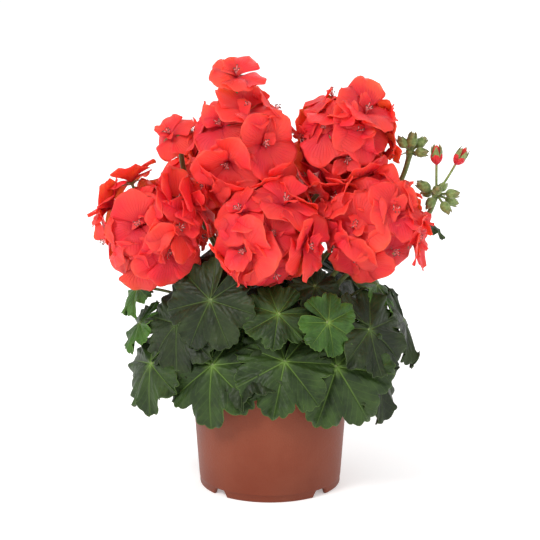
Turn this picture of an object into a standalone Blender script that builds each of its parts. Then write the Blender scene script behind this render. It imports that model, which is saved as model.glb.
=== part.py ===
"""Potted geranium: a zonal pelargonium with coral flower heads in a tapered plastic nursery pot.

Metres, +Z up. The origin is the centre of the pot's foot, on the surface that it stands on.
An azimuth of 0 degrees is the front of the plant (-Y), and 90 degrees is its right-hand side (+X).
Every leaf, stalk, stem and flower head is one closed solid, and touching pieces keep a small gap.
"""

import math

import bmesh
import bpy
from mathutils import Matrix, Vector

# ---------------------------------------------------------------- driving dimensions
PIECE_GAP = 0.0003  # between two pieces that touch

POT_HEIGHT = 0.092
POT_TOP_RADIUS = 0.0597  # outside of the wall, just under the lip
POT_BASE_RADIUS = 0.0535  # outside of the wall, just above its rounded lower edge
POT_WALL = 0.0016
POT_SEGMENTS = 48
LIP_OVERHANG = 0.0014
LIP_HEIGHT = 0.0075
FOOT_HEIGHT = 0.0055
BASE_ROUNDING = 0.0022  # radius of the wall's lower edge
FOOT_STEP = 0.0004  # how far the foot ring stands back from the rounded edge
FOOT_CHAMFER = 0.0010
FOOT_THICKNESS = 0.0030
FLOOR_THICKNESS = 0.0020
NOTCH_COUNT = 4
NOTCH_WIDTH = 0.0135  # at the bottom edge of the foot
NOTCH_TOP_WIDTH = 0.0095
DRAIN_HOLE_COUNT = 6
DRAIN_HOLE_RADIUS = 0.0042
DRAIN_CIRCLE_RADIUS = 0.0330

SOIL_BELOW_RIM = 0.011
SOIL_CROWN = 0.002  # how much higher the soil is at the stem
PLANTING_DEPTH = 0.012
# The tables of branches, leaves and heads are drawn for soil this high, a rim this wide and a stalk
# this thick. The plant rises with the soil, its leaves move out with the rim, and a thicker stalk
# stops further below its hub.
DRAWN_SOIL_HEIGHT = 0.081
DRAWN_RIM_RADIUS = 0.0611
DRAWN_STALK_RADIUS = 0.0019
STALK_SETBACK = 1.5
MAIN_STEM_RADIUS = 0.0060
STEM_SIDES = 8

PETIOLE_RADIUS = 0.0014
PETIOLE_STEPS = 4
LEAF_THICKNESS = 0.0011
LEAF_LOBES = 7
LOBE_DEPTH = 0.07  # half the difference between a lobe and the dip beside it, as a share
LEAF_DROOP = 0.16  # how far the edge hangs below the middle, as a share of the leaf's length
STALK_RADIUS = 0.0019
STALK_STEPS = 6
PEDICEL_RADIUS = 0.0010
PETAL_THICKNESS = 0.0009
PETAL_COUNT = 5
FLORET_CUP = 0.30  # how far the petal tips stand forward of the throat, as a share of petal length
PETAL_VALLEY = 0.80  # radius between two petals, as a share of petal length
HUB_RADIUS = 0.0032

# Side branches: start beside the main stem, bend, tip, then the radius at the start and at the tip.
BRANCHES = {
    "main_stem": ((0, 0, None), (0.001, 0.003, 0.120), (0.000, 0.004, 0.168), MAIN_STEM_RADIUS, 0.0036),
    "branch_left": (
        (-0.0112, -0.002, 0.094), (-0.034, -0.004, 0.104), (-0.042, -0.006, 0.150),
        0.0040, 0.0029,
    ),
    "branch_right": (
        (0.0112, -0.001, 0.097), (0.036, -0.004, 0.108), (0.044, -0.004, 0.154),
        0.0040, 0.0029,
    ),
    "branch_front": (
        (0.002, -0.0112, 0.091), (0.004, -0.030, 0.098), (0.004, -0.030, 0.136),
        0.0038, 0.0028,
    ),
    "branch_back_left": (
        (-0.008, 0.0085, 0.096), (-0.026, 0.030, 0.104), (-0.030, 0.034, 0.150),
        0.0038, 0.0028,
    ),
    "branch_back_right": (
        (0.008, 0.0085, 0.098), (0.028, 0.030, 0.108), (0.030, 0.034, 0.152),
        0.0038, 0.0028,
    ),
}

# Leaves: the branch it grows on, how far along that branch, then the blade's middle (the point
# where the petiole meets it) as azimuth, reach from the pot's axis and height, the blade's length
# from there to its tip, how far its face looks up, and how far the face turns and the tip rolls.
LEAVES = {
    # the skirt that hangs over the rim, from the left round the front to the right
    "leaf_01": ("branch_left", 0.30, -77, 0.091, 0.098, 0.036, 30, 20, -20),
    "leaf_02": ("branch_left", 0.42, -40, 0.066, 0.106, 0.041, 32, 14, -10),
    "leaf_03": ("branch_front", 0.35, 10, 0.062, 0.112, 0.038, 38, -8, 0),
    "leaf_04": ("branch_right", 0.36, 42, 0.073, 0.106, 0.043, 28, -34, 18),
    "leaf_05": ("branch_right", 0.28, 73, 0.082, 0.094, 0.036, 30, -10, 10),
    # the middle tier
    "leaf_06": ("branch_left", 0.60, -66, 0.075, 0.132, 0.037, 28, 20, 0),
    "leaf_07": ("branch_front", 0.66, -42, 0.065, 0.155, 0.036, 26, 20, -10),
    "leaf_08": ("branch_front", 0.84, 6, 0.057, 0.147, 0.026, 40, 0, -50),
    "leaf_09": ("branch_front", 0.76, 36, 0.072, 0.141, 0.024, 28, -14, 45),
    "leaf_10": ("branch_right", 0.62, 62, 0.083, 0.130, 0.035, 34, -22, 34),
    "leaf_11": ("branch_right", 0.50, 97, 0.102, 0.122, 0.034, 26, -10, 12),
    "leaf_12": ("branch_left", 0.50, -94, 0.098, 0.122, 0.023, 40, 20, -40),
    # the upper tier, under the flower heads
    "leaf_13": ("branch_left", 0.80, -97, 0.100, 0.148, 0.022, 46, 20, 0),
    "leaf_14": ("branch_left", 0.90, -58, 0.042, 0.178, 0.024, 50, 16, 0),
    "leaf_15": ("branch_right", 0.78, 46, 0.046, 0.161, 0.023, 48, -10, 0),
    "leaf_16": ("branch_right", 0.70, 92, 0.080, 0.153, 0.026, 50, -18, 50),
    # small leaves in the gaps
    "leaf_17": ("branch_left", 0.50, -48, 0.043, 0.130, 0.018, 26, 14, -6),
    "leaf_18": ("branch_front", 0.46, -6, 0.040, 0.120, 0.013, 44, 0, 0),
    "leaf_19": ("branch_back_right", 0.80, 102, 0.122, 0.196, 0.017, 58, 0, 0),
    # the back
    "leaf_20": ("branch_back_left", 0.30, -108, 0.078, 0.100, 0.038, 32, 0, 0),
    "leaf_21": ("branch_back_left", 0.42, -141, 0.076, 0.108, 0.040, 36, 0, 8),
    "leaf_22": ("main_stem", 0.45, 180, 0.070, 0.106, 0.040, 36, 0, 0),
    "leaf_23": ("branch_back_right", 0.40, 148, 0.076, 0.113, 0.036, 34, 4, -8),
    "leaf_24": ("branch_back_right", 0.26, 108, 0.082, 0.094, 0.034, 30, -2, 0),
    "leaf_25": ("branch_back_left", 0.62, -120, 0.076, 0.140, 0.034, 38, 0, 0),
    "leaf_26": ("branch_back_left", 0.80, -152, 0.064, 0.146, 0.035, 42, 0, 0),
    "leaf_27": ("branch_back_right", 0.70, 162, 0.064, 0.144, 0.032, 40, 0, 0),
    "leaf_28": ("branch_back_right", 0.76, 126, 0.076, 0.146, 0.034, 38, 0, 0),
    "leaf_29": ("main_stem", 0.80, -172, 0.046, 0.172, 0.028, 58, 0, 0),
    "leaf_30": ("branch_back_left", 0.74, -104, 0.058, 0.168, 0.023, 52, 0, 0),
}

# Flower heads: the branch that carries the stalk, how far along it, the hub where the pedicels
# meet, then one row for each floret: azimuth and elevation of its pedicel, the pedicel's length,
# and the petals' length.
HEADS = {
    "left": ("branch_left", 1.0, (-0.089, -0.014, 0.201), (
        (28, -24, 0.028, 0.027), (-16, -44, 0.028, 0.026), (66, 44, 0.028, 0.026), (-70, -14, 0.029, 0.025),
        (-88, 30, 0.029, 0.023), (-128, 62, 0.036, 0.023), (94, 8, 0.031, 0.023), (-14, 16, 0.025, 0.026),
        (164, 24, 0.026, 0.022), (-140, -14, 0.026, 0.021),
    )),
    "upper_left": ("main_stem", 0.86, (-0.022, 0.000, 0.262), (
        (-18, -18, 0.027, 0.027), (-34, 34, 0.028, 0.026), (34, 8, 0.028, 0.026), (22, 64, 0.028, 0.025),
        (88, 44, 0.032, 0.022), (-34, 84, 0.050, 0.021), (72, -38, 0.030, 0.021), (-86, 14, 0.029, 0.022),
        (178, 30, 0.026, 0.023), (-140, 20, 0.026, 0.021), (134, 0, 0.026, 0.021),
    )),
    "front": ("branch_front", 1.0, (-0.002, -0.038, 0.199), (
        (-30, -4, 0.028, 0.028), (8, 18, 0.022, 0.022), (60, -4, 0.029, 0.026), (112, 52, 0.028, 0.023),
        (-112, 40, 0.026, 0.020), (14, -42, 0.027, 0.023), (96, 12, 0.031, 0.022), (-92, 2, 0.024, 0.020),
        (160, 26, 0.024, 0.021),
    )),
    "upper_right": ("main_stem", 1.0, (0.053, 0.006, 0.264), (
        (-28, 24, 0.027, 0.027), (8, -17, 0.026, 0.024), (56, 46, 0.028, 0.027), (-136, 72, 0.028, 0.023),
        (-46, -44, 0.029, 0.020), (95, 6, 0.030, 0.024), (172, 30, 0.026, 0.023), (-110, 8, 0.024, 0.020),
    )),
    "right": ("branch_right", 1.0, (0.077, -0.020, 0.205), (
        (-28, 12, 0.027, 0.027), (30, 28, 0.027, 0.025), (-26, -40, 0.028, 0.025), (26, -26, 0.028, 0.025),
        (-140, 34, 0.024, 0.019), (110, 58, 0.028, 0.022), (-90, -4, 0.028, 0.022), (78, -20, 0.028, 0.024),
        (84, 22, 0.028, 0.024), (168, 10, 0.025, 0.022),
    )),
    "small_left": ("branch_back_left", 0.96, (-0.067, 0.012, 0.260), ((-38, 34, 0.011, 0.020),)),
    "back_left": ("branch_back_left", 1.0, (-0.052, 0.064, 0.206), (
        (178, 4, 0.025, 0.024), (-132, 24, 0.026, 0.023), (-96, -10, 0.026, 0.022), (-150, 66, 0.026, 0.022),
        (140, 34, 0.026, 0.022), (-168, -40, 0.024, 0.022), (120, -14, 0.026, 0.021),
    )),
    "back_right": ("branch_back_right", 1.0, (0.050, 0.066, 0.208), (
        (174, 2, 0.025, 0.024), (130, 24, 0.026, 0.023), (94, -10, 0.026, 0.022), (150, 66, 0.026, 0.022),
        (-140, 34, 0.026, 0.022), (164, -40, 0.024, 0.022), (-122, -14, 0.026, 0.021),
    )),
}

# Unopened heads: the branch, how far along it and the hub, then azimuth, elevation, pedicel
# length and bud length of each bud.
BUD_HEADS = {
    "buds_right": ("branch_right", 0.93, (0.124, 0.012, 0.221), (
        (-10, 84, 0.024, 0.011), (66, 58, 0.029, 0.011), (0, 26, 0.009, 0.008), (62, 4, 0.011, 0.008),
        (104, -30, 0.012, 0.008), (150, 14, 0.009, 0.007), (-70, 30, 0.009, 0.009), (40, -42, 0.012, 0.008),
        (-30, -30, 0.009, 0.008), (-140, -10, 0.009, 0.007),
    )),
    "buds_upper_right": ("branch_back_right", 0.96, (0.104, 0.014, 0.252), (
        (20, 70, 0.007, 0.009), (100, 40, 0.008, 0.008), (-60, 50, 0.008, 0.008), (50, 6, 0.008, 0.008),
        (170, 20, 0.008, 0.007),
    )),
}
# Green buds beside the one open floret of the small head.
SMALL_HEAD_BUDS = (
    (60, 34, 0.008, 0.008), (140, 10, 0.009, 0.008), (30, -14, 0.009, 0.007), (100, 66, 0.008, 0.008),
    (-140, 16, 0.009, 0.007),
)

COLOURS = {
    "terracotta_plastic": (0.26, 0.085, 0.043, 1, 0.42),
    "potting_soil": (0.035, 0.024, 0.018, 1, 0.95),
    "stem_green": (0.11, 0.17, 0.045, 1, 0.6),
    "stem_brown": (0.12, 0.085, 0.045, 1, 0.8),
    "leaf_green": (0.055, 0.105, 0.035, 1, 0.6),
    "petal_coral": (0.83, 0.055, 0.045, 1, 0.55),
    "bud_green": (0.20, 0.27, 0.08, 1, 0.6),
}


# ---------------------------------------------------------------- scene and materials
def clear_scene():
    for obj in list(bpy.data.objects):
        bpy.data.objects.remove(obj)


def collection(name):
    made = bpy.data.collections.new(name)
    bpy.context.scene.collection.children.link(made)
    return made


def make_materials():
    made = {}
    for name, (red, green, blue, alpha, roughness) in COLOURS.items():
        material = bpy.data.materials.new(name)
        material.use_nodes = True
        shader = material.node_tree.nodes["Principled BSDF"]
        shader.inputs["Base Color"].default_value = (red, green, blue, alpha)
        shader.inputs["Roughness"].default_value = roughness
        shader.inputs["Metallic"].default_value = 0.0
        made[name] = material
    return made


def add_object(name, data, where, material=None):
    obj = bpy.data.objects.new(name, data)
    where.objects.link(obj)
    if material is not None:
        obj.data.materials.append(material)
    return obj


def hide_helper(obj):
    obj.hide_render = True
    obj.display_type = "WIRE"


# ---------------------------------------------------------------- shared shapes
def direction(azimuth, elevation):
    """Unit vector that points out at an azimuth and up at an elevation, both in degrees."""
    a, e = math.radians(azimuth), math.radians(elevation)
    return Vector((math.sin(a) * math.cos(e), -math.cos(a) * math.cos(e), math.sin(e)))


def bezier(points, t):
    """A point on the Bezier curve with these control points, by de Casteljau's rule."""
    points = [Vector(p) for p in points]
    while len(points) > 1:
        points = [a.lerp(b, t) for a, b in zip(points, points[1:])]
    return points[0]


def tube(name, points, radii, sides, where, material=None):
    """A round tapered tube along these points, with its caps welded on, as a mesh object."""
    curve = bpy.data.curves.new(name, "CURVE")
    curve.dimensions = "3D"
    curve.bevel_depth = 1.0
    curve.bevel_resolution = max(0, sides // 2 - 2)
    curve.use_fill_caps = True
    spline = curve.splines.new("POLY")
    spline.points.add(len(points) - 1)
    for point, place, radius in zip(spline.points, points, radii):
        point.co = (*place, 1)
        point.radius = radius
    guide = add_object(name + "_guide", curve, where)
    bpy.context.view_layer.update()
    graph = bpy.context.evaluated_depsgraph_get()
    mesh = bpy.data.meshes.new_from_object(guide.evaluated_get(graph))
    bpy.data.objects.remove(guide)
    shape = bmesh.new()
    shape.from_mesh(mesh)
    bmesh.ops.remove_doubles(shape, verts=shape.verts, dist=1e-5)
    bmesh.ops.recalc_face_normals(shape, faces=shape.faces)
    shape.to_mesh(mesh)
    shape.free()
    mesh.name = name
    return add_object(name, mesh, where, material)


def turned(name, profile, segments, where, material=None):
    """A profile of (radius, height) points, from the outside round to the inside, turned about Z."""
    mesh = bpy.data.meshes.new(name)
    count = len(profile)
    closed = profile[0][0] > 0
    edges = [(i, (i + 1) % count) for i in range(count if closed else count - 1)]
    mesh.from_pydata([(radius, 0, height) for radius, height in profile], edges, [])
    obj = add_object(name, mesh, where, material)
    screw = obj.modifiers.new("turn", "SCREW")
    screw.steps = screw.render_steps = segments
    screw.use_merge_vertices = True
    screw.merge_threshold = 1e-5
    screw.use_smooth_shade = True
    return obj


# Every join and cut still to be made: they are added last, so that the tubes are worked out quickly.
BOOLEANS = []


def boolean(obj, other, operation):
    BOOLEANS.append((obj, other, operation))


def add_booleans():
    """Joins or cuts each object with another one, or with every object of a collection."""
    for obj, other, operation in BOOLEANS:
        modifier = obj.modifiers.new(operation.lower(), "BOOLEAN")
        modifier.operation = operation
        if isinstance(other, bpy.types.Collection):
            modifier.operand_type = "COLLECTION"
            modifier.collection = other
        else:
            modifier.object = other
            hide_helper(other)


def frame_matrix(origin, side, along, up):
    """A placing matrix whose X, Y and Z axes are these three unit vectors."""
    made = Matrix((side, along, up)).transposed().to_4x4()
    made.translation = origin
    return made


# ---------------------------------------------------------------- pot and soil
def wall_radius(height):
    """Outside radius of the pot's wall at a height, from the top of the rounded edge upwards."""
    base = FOOT_HEIGHT + BASE_ROUNDING
    share = (height - base) / (POT_HEIGHT - base)
    return POT_BASE_RADIUS + share * (POT_TOP_RADIUS - POT_BASE_RADIUS)


def notch_cutter(index, helpers):
    """A wedge-sided block across the foot ring, wider at the bottom."""
    shape = bmesh.new()
    bmesh.ops.create_cube(shape, size=1)
    reach = 3 * FOOT_THICKNESS
    for vert in shape.verts:
        top = vert.co.z > 0
        width = NOTCH_TOP_WIDTH if top else NOTCH_WIDTH + (NOTCH_WIDTH - NOTCH_TOP_WIDTH)
        vert.co = Vector((vert.co.x * width, vert.co.y * 2 * reach, FOOT_HEIGHT if top else -FOOT_HEIGHT))
    mesh = bpy.data.meshes.new(f"notch_{index}")
    shape.to_mesh(mesh)
    shape.free()
    cutter = add_object(f"notch_{index}", mesh, helpers)
    azimuth = 45 + index * 360 / NOTCH_COUNT
    cutter.rotation_euler.z = math.radians(azimuth)
    cutter.location = direction(azimuth, 0) * (POT_BASE_RADIUS - BASE_ROUNDING - FOOT_THICKNESS / 2)
    hide_helper(cutter)
    return cutter


def drain_cutter(index, helpers):
    shape = bmesh.new()
    bmesh.ops.create_cone(
        shape, cap_ends=True, segments=12, radius1=DRAIN_HOLE_RADIUS, radius2=DRAIN_HOLE_RADIUS,
        depth=4 * FLOOR_THICKNESS,
    )
    mesh = bpy.data.meshes.new(f"drain_{index}")
    shape.to_mesh(mesh)
    shape.free()
    cutter = add_object(f"drain_{index}", mesh, helpers)
    azimuth = index * 360 / DRAIN_HOLE_COUNT
    cutter.location = direction(azimuth, 0) * DRAIN_CIRCLE_RADIUS
    cutter.location.z = FOOT_HEIGHT + FLOOR_THICKNESS / 2
    hide_helper(cutter)
    return cutter


def make_pot(where, cutters, materials):
    crease_radius = POT_BASE_RADIUS - BASE_ROUNDING
    foot_radius = crease_radius - FOOT_STEP
    corner = 1 - math.cos(math.pi / 4)
    lip_radius = POT_TOP_RADIUS + LIP_OVERHANG
    lip_base = POT_HEIGHT - LIP_HEIGHT
    floor_top = FOOT_HEIGHT + FLOOR_THICKNESS
    profile = [
        (lip_radius, POT_HEIGHT),
        (lip_radius, lip_base),
        (wall_radius(lip_base), lip_base),
        (POT_BASE_RADIUS, FOOT_HEIGHT + BASE_ROUNDING),
        (POT_BASE_RADIUS - corner * BASE_ROUNDING, FOOT_HEIGHT + corner * BASE_ROUNDING),
        (crease_radius, FOOT_HEIGHT),
        (foot_radius, FOOT_HEIGHT),
        (foot_radius, FOOT_CHAMFER),
        (foot_radius - FOOT_CHAMFER, 0),
        (foot_radius - FOOT_THICKNESS, 0),
        (foot_radius - FOOT_THICKNESS, FOOT_HEIGHT),
        (0, FOOT_HEIGHT),
        (0, floor_top),
        (crease_radius - POT_WALL, floor_top),
        (POT_BASE_RADIUS - POT_WALL, floor_top + BASE_ROUNDING),
        (POT_TOP_RADIUS - POT_WALL, POT_HEIGHT),
    ]
    start = profile.index((0, floor_top))
    material = materials["terracotta_plastic"]
    pot = turned("pot", profile[start:] + profile[:start], POT_SEGMENTS, where, material)
    for index in range(NOTCH_COUNT):
        boolean(pot, notch_cutter(index, cutters), "DIFFERENCE")
    for index in range(DRAIN_HOLE_COUNT):
        boolean(pot, drain_cutter(index, cutters), "DIFFERENCE")
    return pot


def soil_height():
    return POT_HEIGHT - SOIL_BELOW_RIM


def make_soil(where, cutters, materials):
    bottom = FOOT_HEIGHT + FLOOR_THICKNESS + PIECE_GAP
    corner = bottom + BASE_ROUNDING + PIECE_GAP
    top = soil_height()

    def inside(radius):
        """Radius inside a wall of this outside radius, clear of the flats of the turned pot."""
        return radius * math.cos(math.pi / POT_SEGMENTS) - POT_WALL - 2 * PIECE_GAP

    profile = [
        (0, top + SOIL_CROWN),
        (0.5 * inside(wall_radius(top)), top + 0.6 * SOIL_CROWN),
        (inside(wall_radius(top)), top),
        (inside(wall_radius(corner)), corner),
        (inside(POT_BASE_RADIUS - BASE_ROUNDING), bottom),
        (0, bottom),
    ]
    soil = turned("potting_soil", profile, POT_SEGMENTS, where, materials["potting_soil"])
    hole = tube(
        "planting_hole",
        [(0, 0, top - PLANTING_DEPTH - PIECE_GAP), (0, 0, top + 3 * SOIL_CROWN)],
        [MAIN_STEM_RADIUS + 2 * PIECE_GAP] * 2,
        STEM_SIDES,
        cutters,
    )
    boolean(soil, hole, "DIFFERENCE")
    return soil


def raised(place):
    """A place in the tables, moved up or down with the soil."""
    return Vector(place) + Vector((0, 0, soil_height() - DRAWN_SOIL_HEIGHT))


# ---------------------------------------------------------------- stems
def branch_controls(name):
    start, bend, tip, _, _ = BRANCHES[name]
    if start[2] is None:
        start = (start[0], start[1], DRAWN_SOIL_HEIGHT - PLANTING_DEPTH)
    return raised(start), raised(bend), raised(tip)


def branch_point(name, share):
    return bezier(branch_controls(name), share)


def branch_radius(name, share):
    _, _, _, first, last = BRANCHES[name]
    return first + share * (last - first)


def make_branch(name, where, materials):
    steps = 6
    shares = [i / steps for i in range(steps + 1)]
    colour = materials["stem_brown" if name == "main_stem" else "stem_green"]
    points = [branch_point(name, s) for s in shares]
    if name == "main_stem":
        buried = Vector((0, 0, soil_height() + SOIL_CROWN))
        points = [points[0], buried] + [p for p in points if p.z > buried.z + PLANTING_DEPTH / 3]
        shares = [0, 0.1] + [s for s, p in zip(shares, [branch_point(name, s) for s in shares])
                             if p.z > buried.z + PLANTING_DEPTH / 3]
    radii = [branch_radius(name, s) for s in shares]
    return tube(name, points, radii, STEM_SIDES, where, colour)


def clear_of_branch(name, share, towards, own_radius):
    """The point beside a branch where a piece that grows towards a place starts."""
    centre = branch_point(name, share)
    along = (branch_point(name, min(1, share + 0.05)) - branch_point(name, share - 0.05)).normalized()
    heading = Vector(towards) - centre
    if share < 0.999:
        heading -= along * heading.dot(along)
        lift = branch_radius(name, share) + 0.7 * own_radius + PIECE_GAP
    else:
        heading = along
        lift = 0.9 * own_radius + PIECE_GAP
    return centre + heading.normalized() * lift


# ---------------------------------------------------------------- leaves
def leaf_outline(angle):
    """Share of the leaf's length from the petiole to its edge; 0 is the tip and pi is the notch."""
    rounded = 0.88 + 0.12 * math.cos(angle)
    lobed = 1 + LOBE_DEPTH * (math.cos(LEAF_LOBES * angle) - 1)
    from_notch = math.pi - abs(angle)
    return rounded * lobed * (1 - 0.80 * math.exp(-((from_notch / 0.30) ** 2)))


def leaf_frame(row):
    """The blade's placing matrix: X across, Y to the tip, Z out of its upper face."""
    _, _, azimuth, reach, height, _, facing, turn, roll = row
    reach += POT_TOP_RADIUS + LIP_OVERHANG - DRAWN_RIM_RADIUS
    middle = direction(azimuth, 0) * reach + raised((0, 0, height))
    normal = direction(azimuth + turn, facing)
    tip = direction(azimuth + turn, facing - 90)
    tip.rotate(Matrix.Rotation(math.radians(roll), 3, normal))
    return frame_matrix(middle, tip.cross(normal), tip, normal)


def blade_mesh(name, length):
    """A disc drawn out to the leaf's lobed outline, with its edge below the middle."""
    shape = bmesh.new()
    bmesh.ops.create_circle(shape, cap_ends=True, cap_tris=True, segments=2 * LEAF_LOBES, radius=1.0)
    bmesh.ops.rotate(shape, verts=shape.verts, matrix=Matrix.Rotation(math.pi / 2, 3, "Z"))
    for vert in shape.verts:
        if vert.co.length < 0.5:
            continue
        angle = math.atan2(-vert.co.x, vert.co.y)
        reach = length * leaf_outline(angle)
        vert.co = vert.co.normalized() * reach
        vert.co.z = -LEAF_DROOP * reach
    mesh = bpy.data.meshes.new(name)
    shape.to_mesh(mesh)
    shape.free()
    return mesh


def make_leaf(name, row, where, cutters, materials):
    branch, share = row[0], row[1]
    length = row[5]
    frame = leaf_frame(row)
    middle, tip, normal = frame.translation, frame.col[1].xyz, frame.col[2].xyz
    leaf = add_object(name, blade_mesh(name, length), where, materials["leaf_green"])
    leaf.matrix_world = frame
    wall = leaf.modifiers.new("thickness", "SOLIDIFY")
    wall.thickness = LEAF_THICKNESS
    wall.offset = 0
    start = clear_of_branch(branch, share, middle, PETIOLE_RADIUS)
    heading = (middle - start).normalized()
    arrive = middle - tip * 0.25 * length - normal * 0.22 * length
    rise = Vector((0, 0, 0.18 * (middle - start).length))
    leave = start + heading * 0.3 * (middle - start).length + rise
    route = (start, leave, arrive, middle - normal * LEAF_THICKNESS * 0.2)
    steps = PETIOLE_STEPS
    points = [bezier(route, i / steps) for i in range(steps + 1)]
    petiole = tube(name + "_petiole", points, [PETIOLE_RADIUS] * (steps + 1), 4, cutters)
    boolean(leaf, petiole, "UNION")
    return leaf


# ---------------------------------------------------------------- flowers
def make_stalk(name, branch, share, hub, where, materials):
    """The bare flower stalk, from its branch up to just under the hub."""
    hub = Vector(hub)
    start = clear_of_branch(branch, share, hub, STALK_RADIUS)
    leave = (branch_point(branch, share) - branch_point(branch, share - 0.1)).normalized()
    span = (hub - start).length
    under = hub - Vector((0, 0, 0.45 * span)).lerp(hub - start, 0.15)
    route = (start, start + leave * 0.3 * span, under, hub)
    setback = STALK_SETBACK * (STALK_RADIUS - DRAWN_STALK_RADIUS)
    end_share = 1 - (HUB_RADIUS + PIECE_GAP + 0.0002 + setback) / (hub - under).length / 3
    steps = STALK_STEPS
    points = [bezier(route, end_share * i / steps) for i in range(steps + 1)]
    radii = [STALK_RADIUS] * (steps + 1)
    return tube("flower_stalk_" + name, points, radii, 6, where, materials["stem_green"])


def floret_mesh(name, length):
    """Five petals as one shallow lobed cup: the throat is the origin, and +Z is the way it faces."""
    shape = bmesh.new()
    bmesh.ops.create_circle(shape, cap_ends=True, cap_tris=True, segments=2 * PETAL_COUNT, radius=1.0)
    for index, vert in enumerate(shape.verts):
        if vert.co.length < 0.5:
            continue
        angle = math.atan2(vert.co.y, vert.co.x)
        between = round(angle * PETAL_COUNT / math.pi) % 2
        radius = length * (PETAL_VALLEY if between else 1.0)
        vert.co = vert.co.normalized() * radius
        vert.co.z = FLORET_CUP * radius
    mesh = bpy.data.meshes.new(name)
    shape.to_mesh(mesh)
    shape.free()
    return mesh


def bud_mesh(name, length, width):
    shape = bmesh.new()
    bmesh.ops.create_uvsphere(shape, u_segments=6, v_segments=4, radius=1.0)
    bmesh.ops.scale(shape, verts=shape.verts, vec=(width / 2, width / 2, length / 2))
    mesh = bpy.data.meshes.new(name)
    shape.to_mesh(mesh)
    shape.free()
    return mesh


def facing_matrix(place, facing, spin):
    made = facing.to_track_quat("Z", "Y").to_matrix().to_4x4() @ Matrix.Rotation(spin, 4, "Z")
    made.translation = place
    return made


def make_hub(node, hub, where, material):
    shape = bmesh.new()
    bmesh.ops.create_icosphere(shape, subdivisions=1, radius=HUB_RADIUS)
    mesh = bpy.data.meshes.new(node)
    shape.to_mesh(mesh)
    shape.free()
    head = add_object(node, mesh, where, material)
    head.location = hub
    return head


def add_floret(label, hub, row, parts):
    azimuth, elevation, reach, length = row
    facing = direction(azimuth, elevation)
    throat = Vector(hub) + facing * reach
    floret = add_object(label, floret_mesh(label, length), parts)
    floret.matrix_world = facing_matrix(throat, facing, math.radians(azimuth * 2 + elevation))
    wall = floret.modifiers.new("thickness", "SOLIDIFY")
    wall.thickness = PETAL_THICKNESS
    wall.offset = 0
    hide_helper(floret)
    ends = [Vector(hub), throat + facing * 0.0004]
    pedicel = tube(label + "_pedicel", ends, [PEDICEL_RADIUS] * 2, 4, parts)
    hide_helper(pedicel)


def add_bud(label, hub, row, parts):
    azimuth, elevation, reach, length = row
    facing = direction(azimuth, elevation)
    bud = add_object(label, bud_mesh(label, length, 0.55 * length), parts)
    bud.matrix_world = facing_matrix(Vector(hub) + facing * (reach + 0.4 * length), facing, 0)
    hide_helper(bud)
    pedicel = tube(label + "_pedicel", [Vector(hub), Vector(hub) + facing * (reach + 0.1 * length)],
                   [PEDICEL_RADIUS] * 2, 4, parts)
    hide_helper(pedicel)


def make_head(name, hub, florets, buds, where, material):
    node = "flower_head_" + name
    head = make_hub(node, hub, where, material)
    parts = collection(node + "_parts")
    for index, row in enumerate(florets):
        add_floret(f"{node}_floret_{index}", hub, row, parts)
    for index, row in enumerate(buds):
        add_bud(f"{node}_bud_{index}", hub, row, parts)
    boolean(head, parts, "UNION")
    return head


# ---------------------------------------------------------------- the origin
def centre_on_box(plant):
    """Carry every piece on one empty, placed so that the plant's box has its middle over the origin."""
    bpy.context.view_layer.update()
    seen = bpy.context.evaluated_depsgraph_get()
    points = []
    for part in plant.objects:
        points += [part.matrix_world @ vert.co for vert in part.evaluated_get(seen).data.vertices]
    middle = bpy.data.objects.new("plant_middle", None)
    plant.objects.link(middle)
    for axis in (0, 1):
        reach = [point[axis] for point in points]
        middle.location[axis] = -(min(reach) + max(reach)) / 2
    for obj in bpy.data.objects:
        if obj.parent is None and obj != middle:
            obj.parent = middle


def main():
    clear_scene()
    plant = collection("potted_geranium")
    cutters = collection("cutters_and_helpers")
    materials = make_materials()
    make_pot(plant, cutters, materials)
    make_soil(plant, cutters, materials)
    for name in BRANCHES:
        make_branch(name, plant, materials)
    for name, row in LEAVES.items():
        make_leaf(name, row, plant, cutters, materials)
    for name, (branch, share, place, florets) in HEADS.items():
        hub = raised(place)
        make_stalk(name, branch, share, hub, plant, materials)
        buds = SMALL_HEAD_BUDS if name == "small_left" else ()
        make_head(name, hub, florets, buds, plant, materials["petal_coral"])
    for name, (branch, share, place, buds) in BUD_HEADS.items():
        hub = raised(place)
        make_stalk(name, branch, share, hub, plant, materials)
        make_head(name, hub, (), buds, plant, materials["bud_green"])
    add_booleans()
    centre_on_box(plant)


main()
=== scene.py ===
# %% [markdown]
# # A potted geranium
# The plant is a zonal geranium: coral flower heads on bare stalks, a skirt of round lobed leaves,
# and a tapered plastic nursery pot. The design model holds every leaf, stem and flower head as a
# coarse solid in its right place. Here each one gets its real surface. The first cell loads that
# model as a fixed frame, and reads the pot's box, whose middle is the plant's axis.

import math

import bmesh
import bpy
import numpy as np
from mathutils import Matrix, Vector


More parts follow.
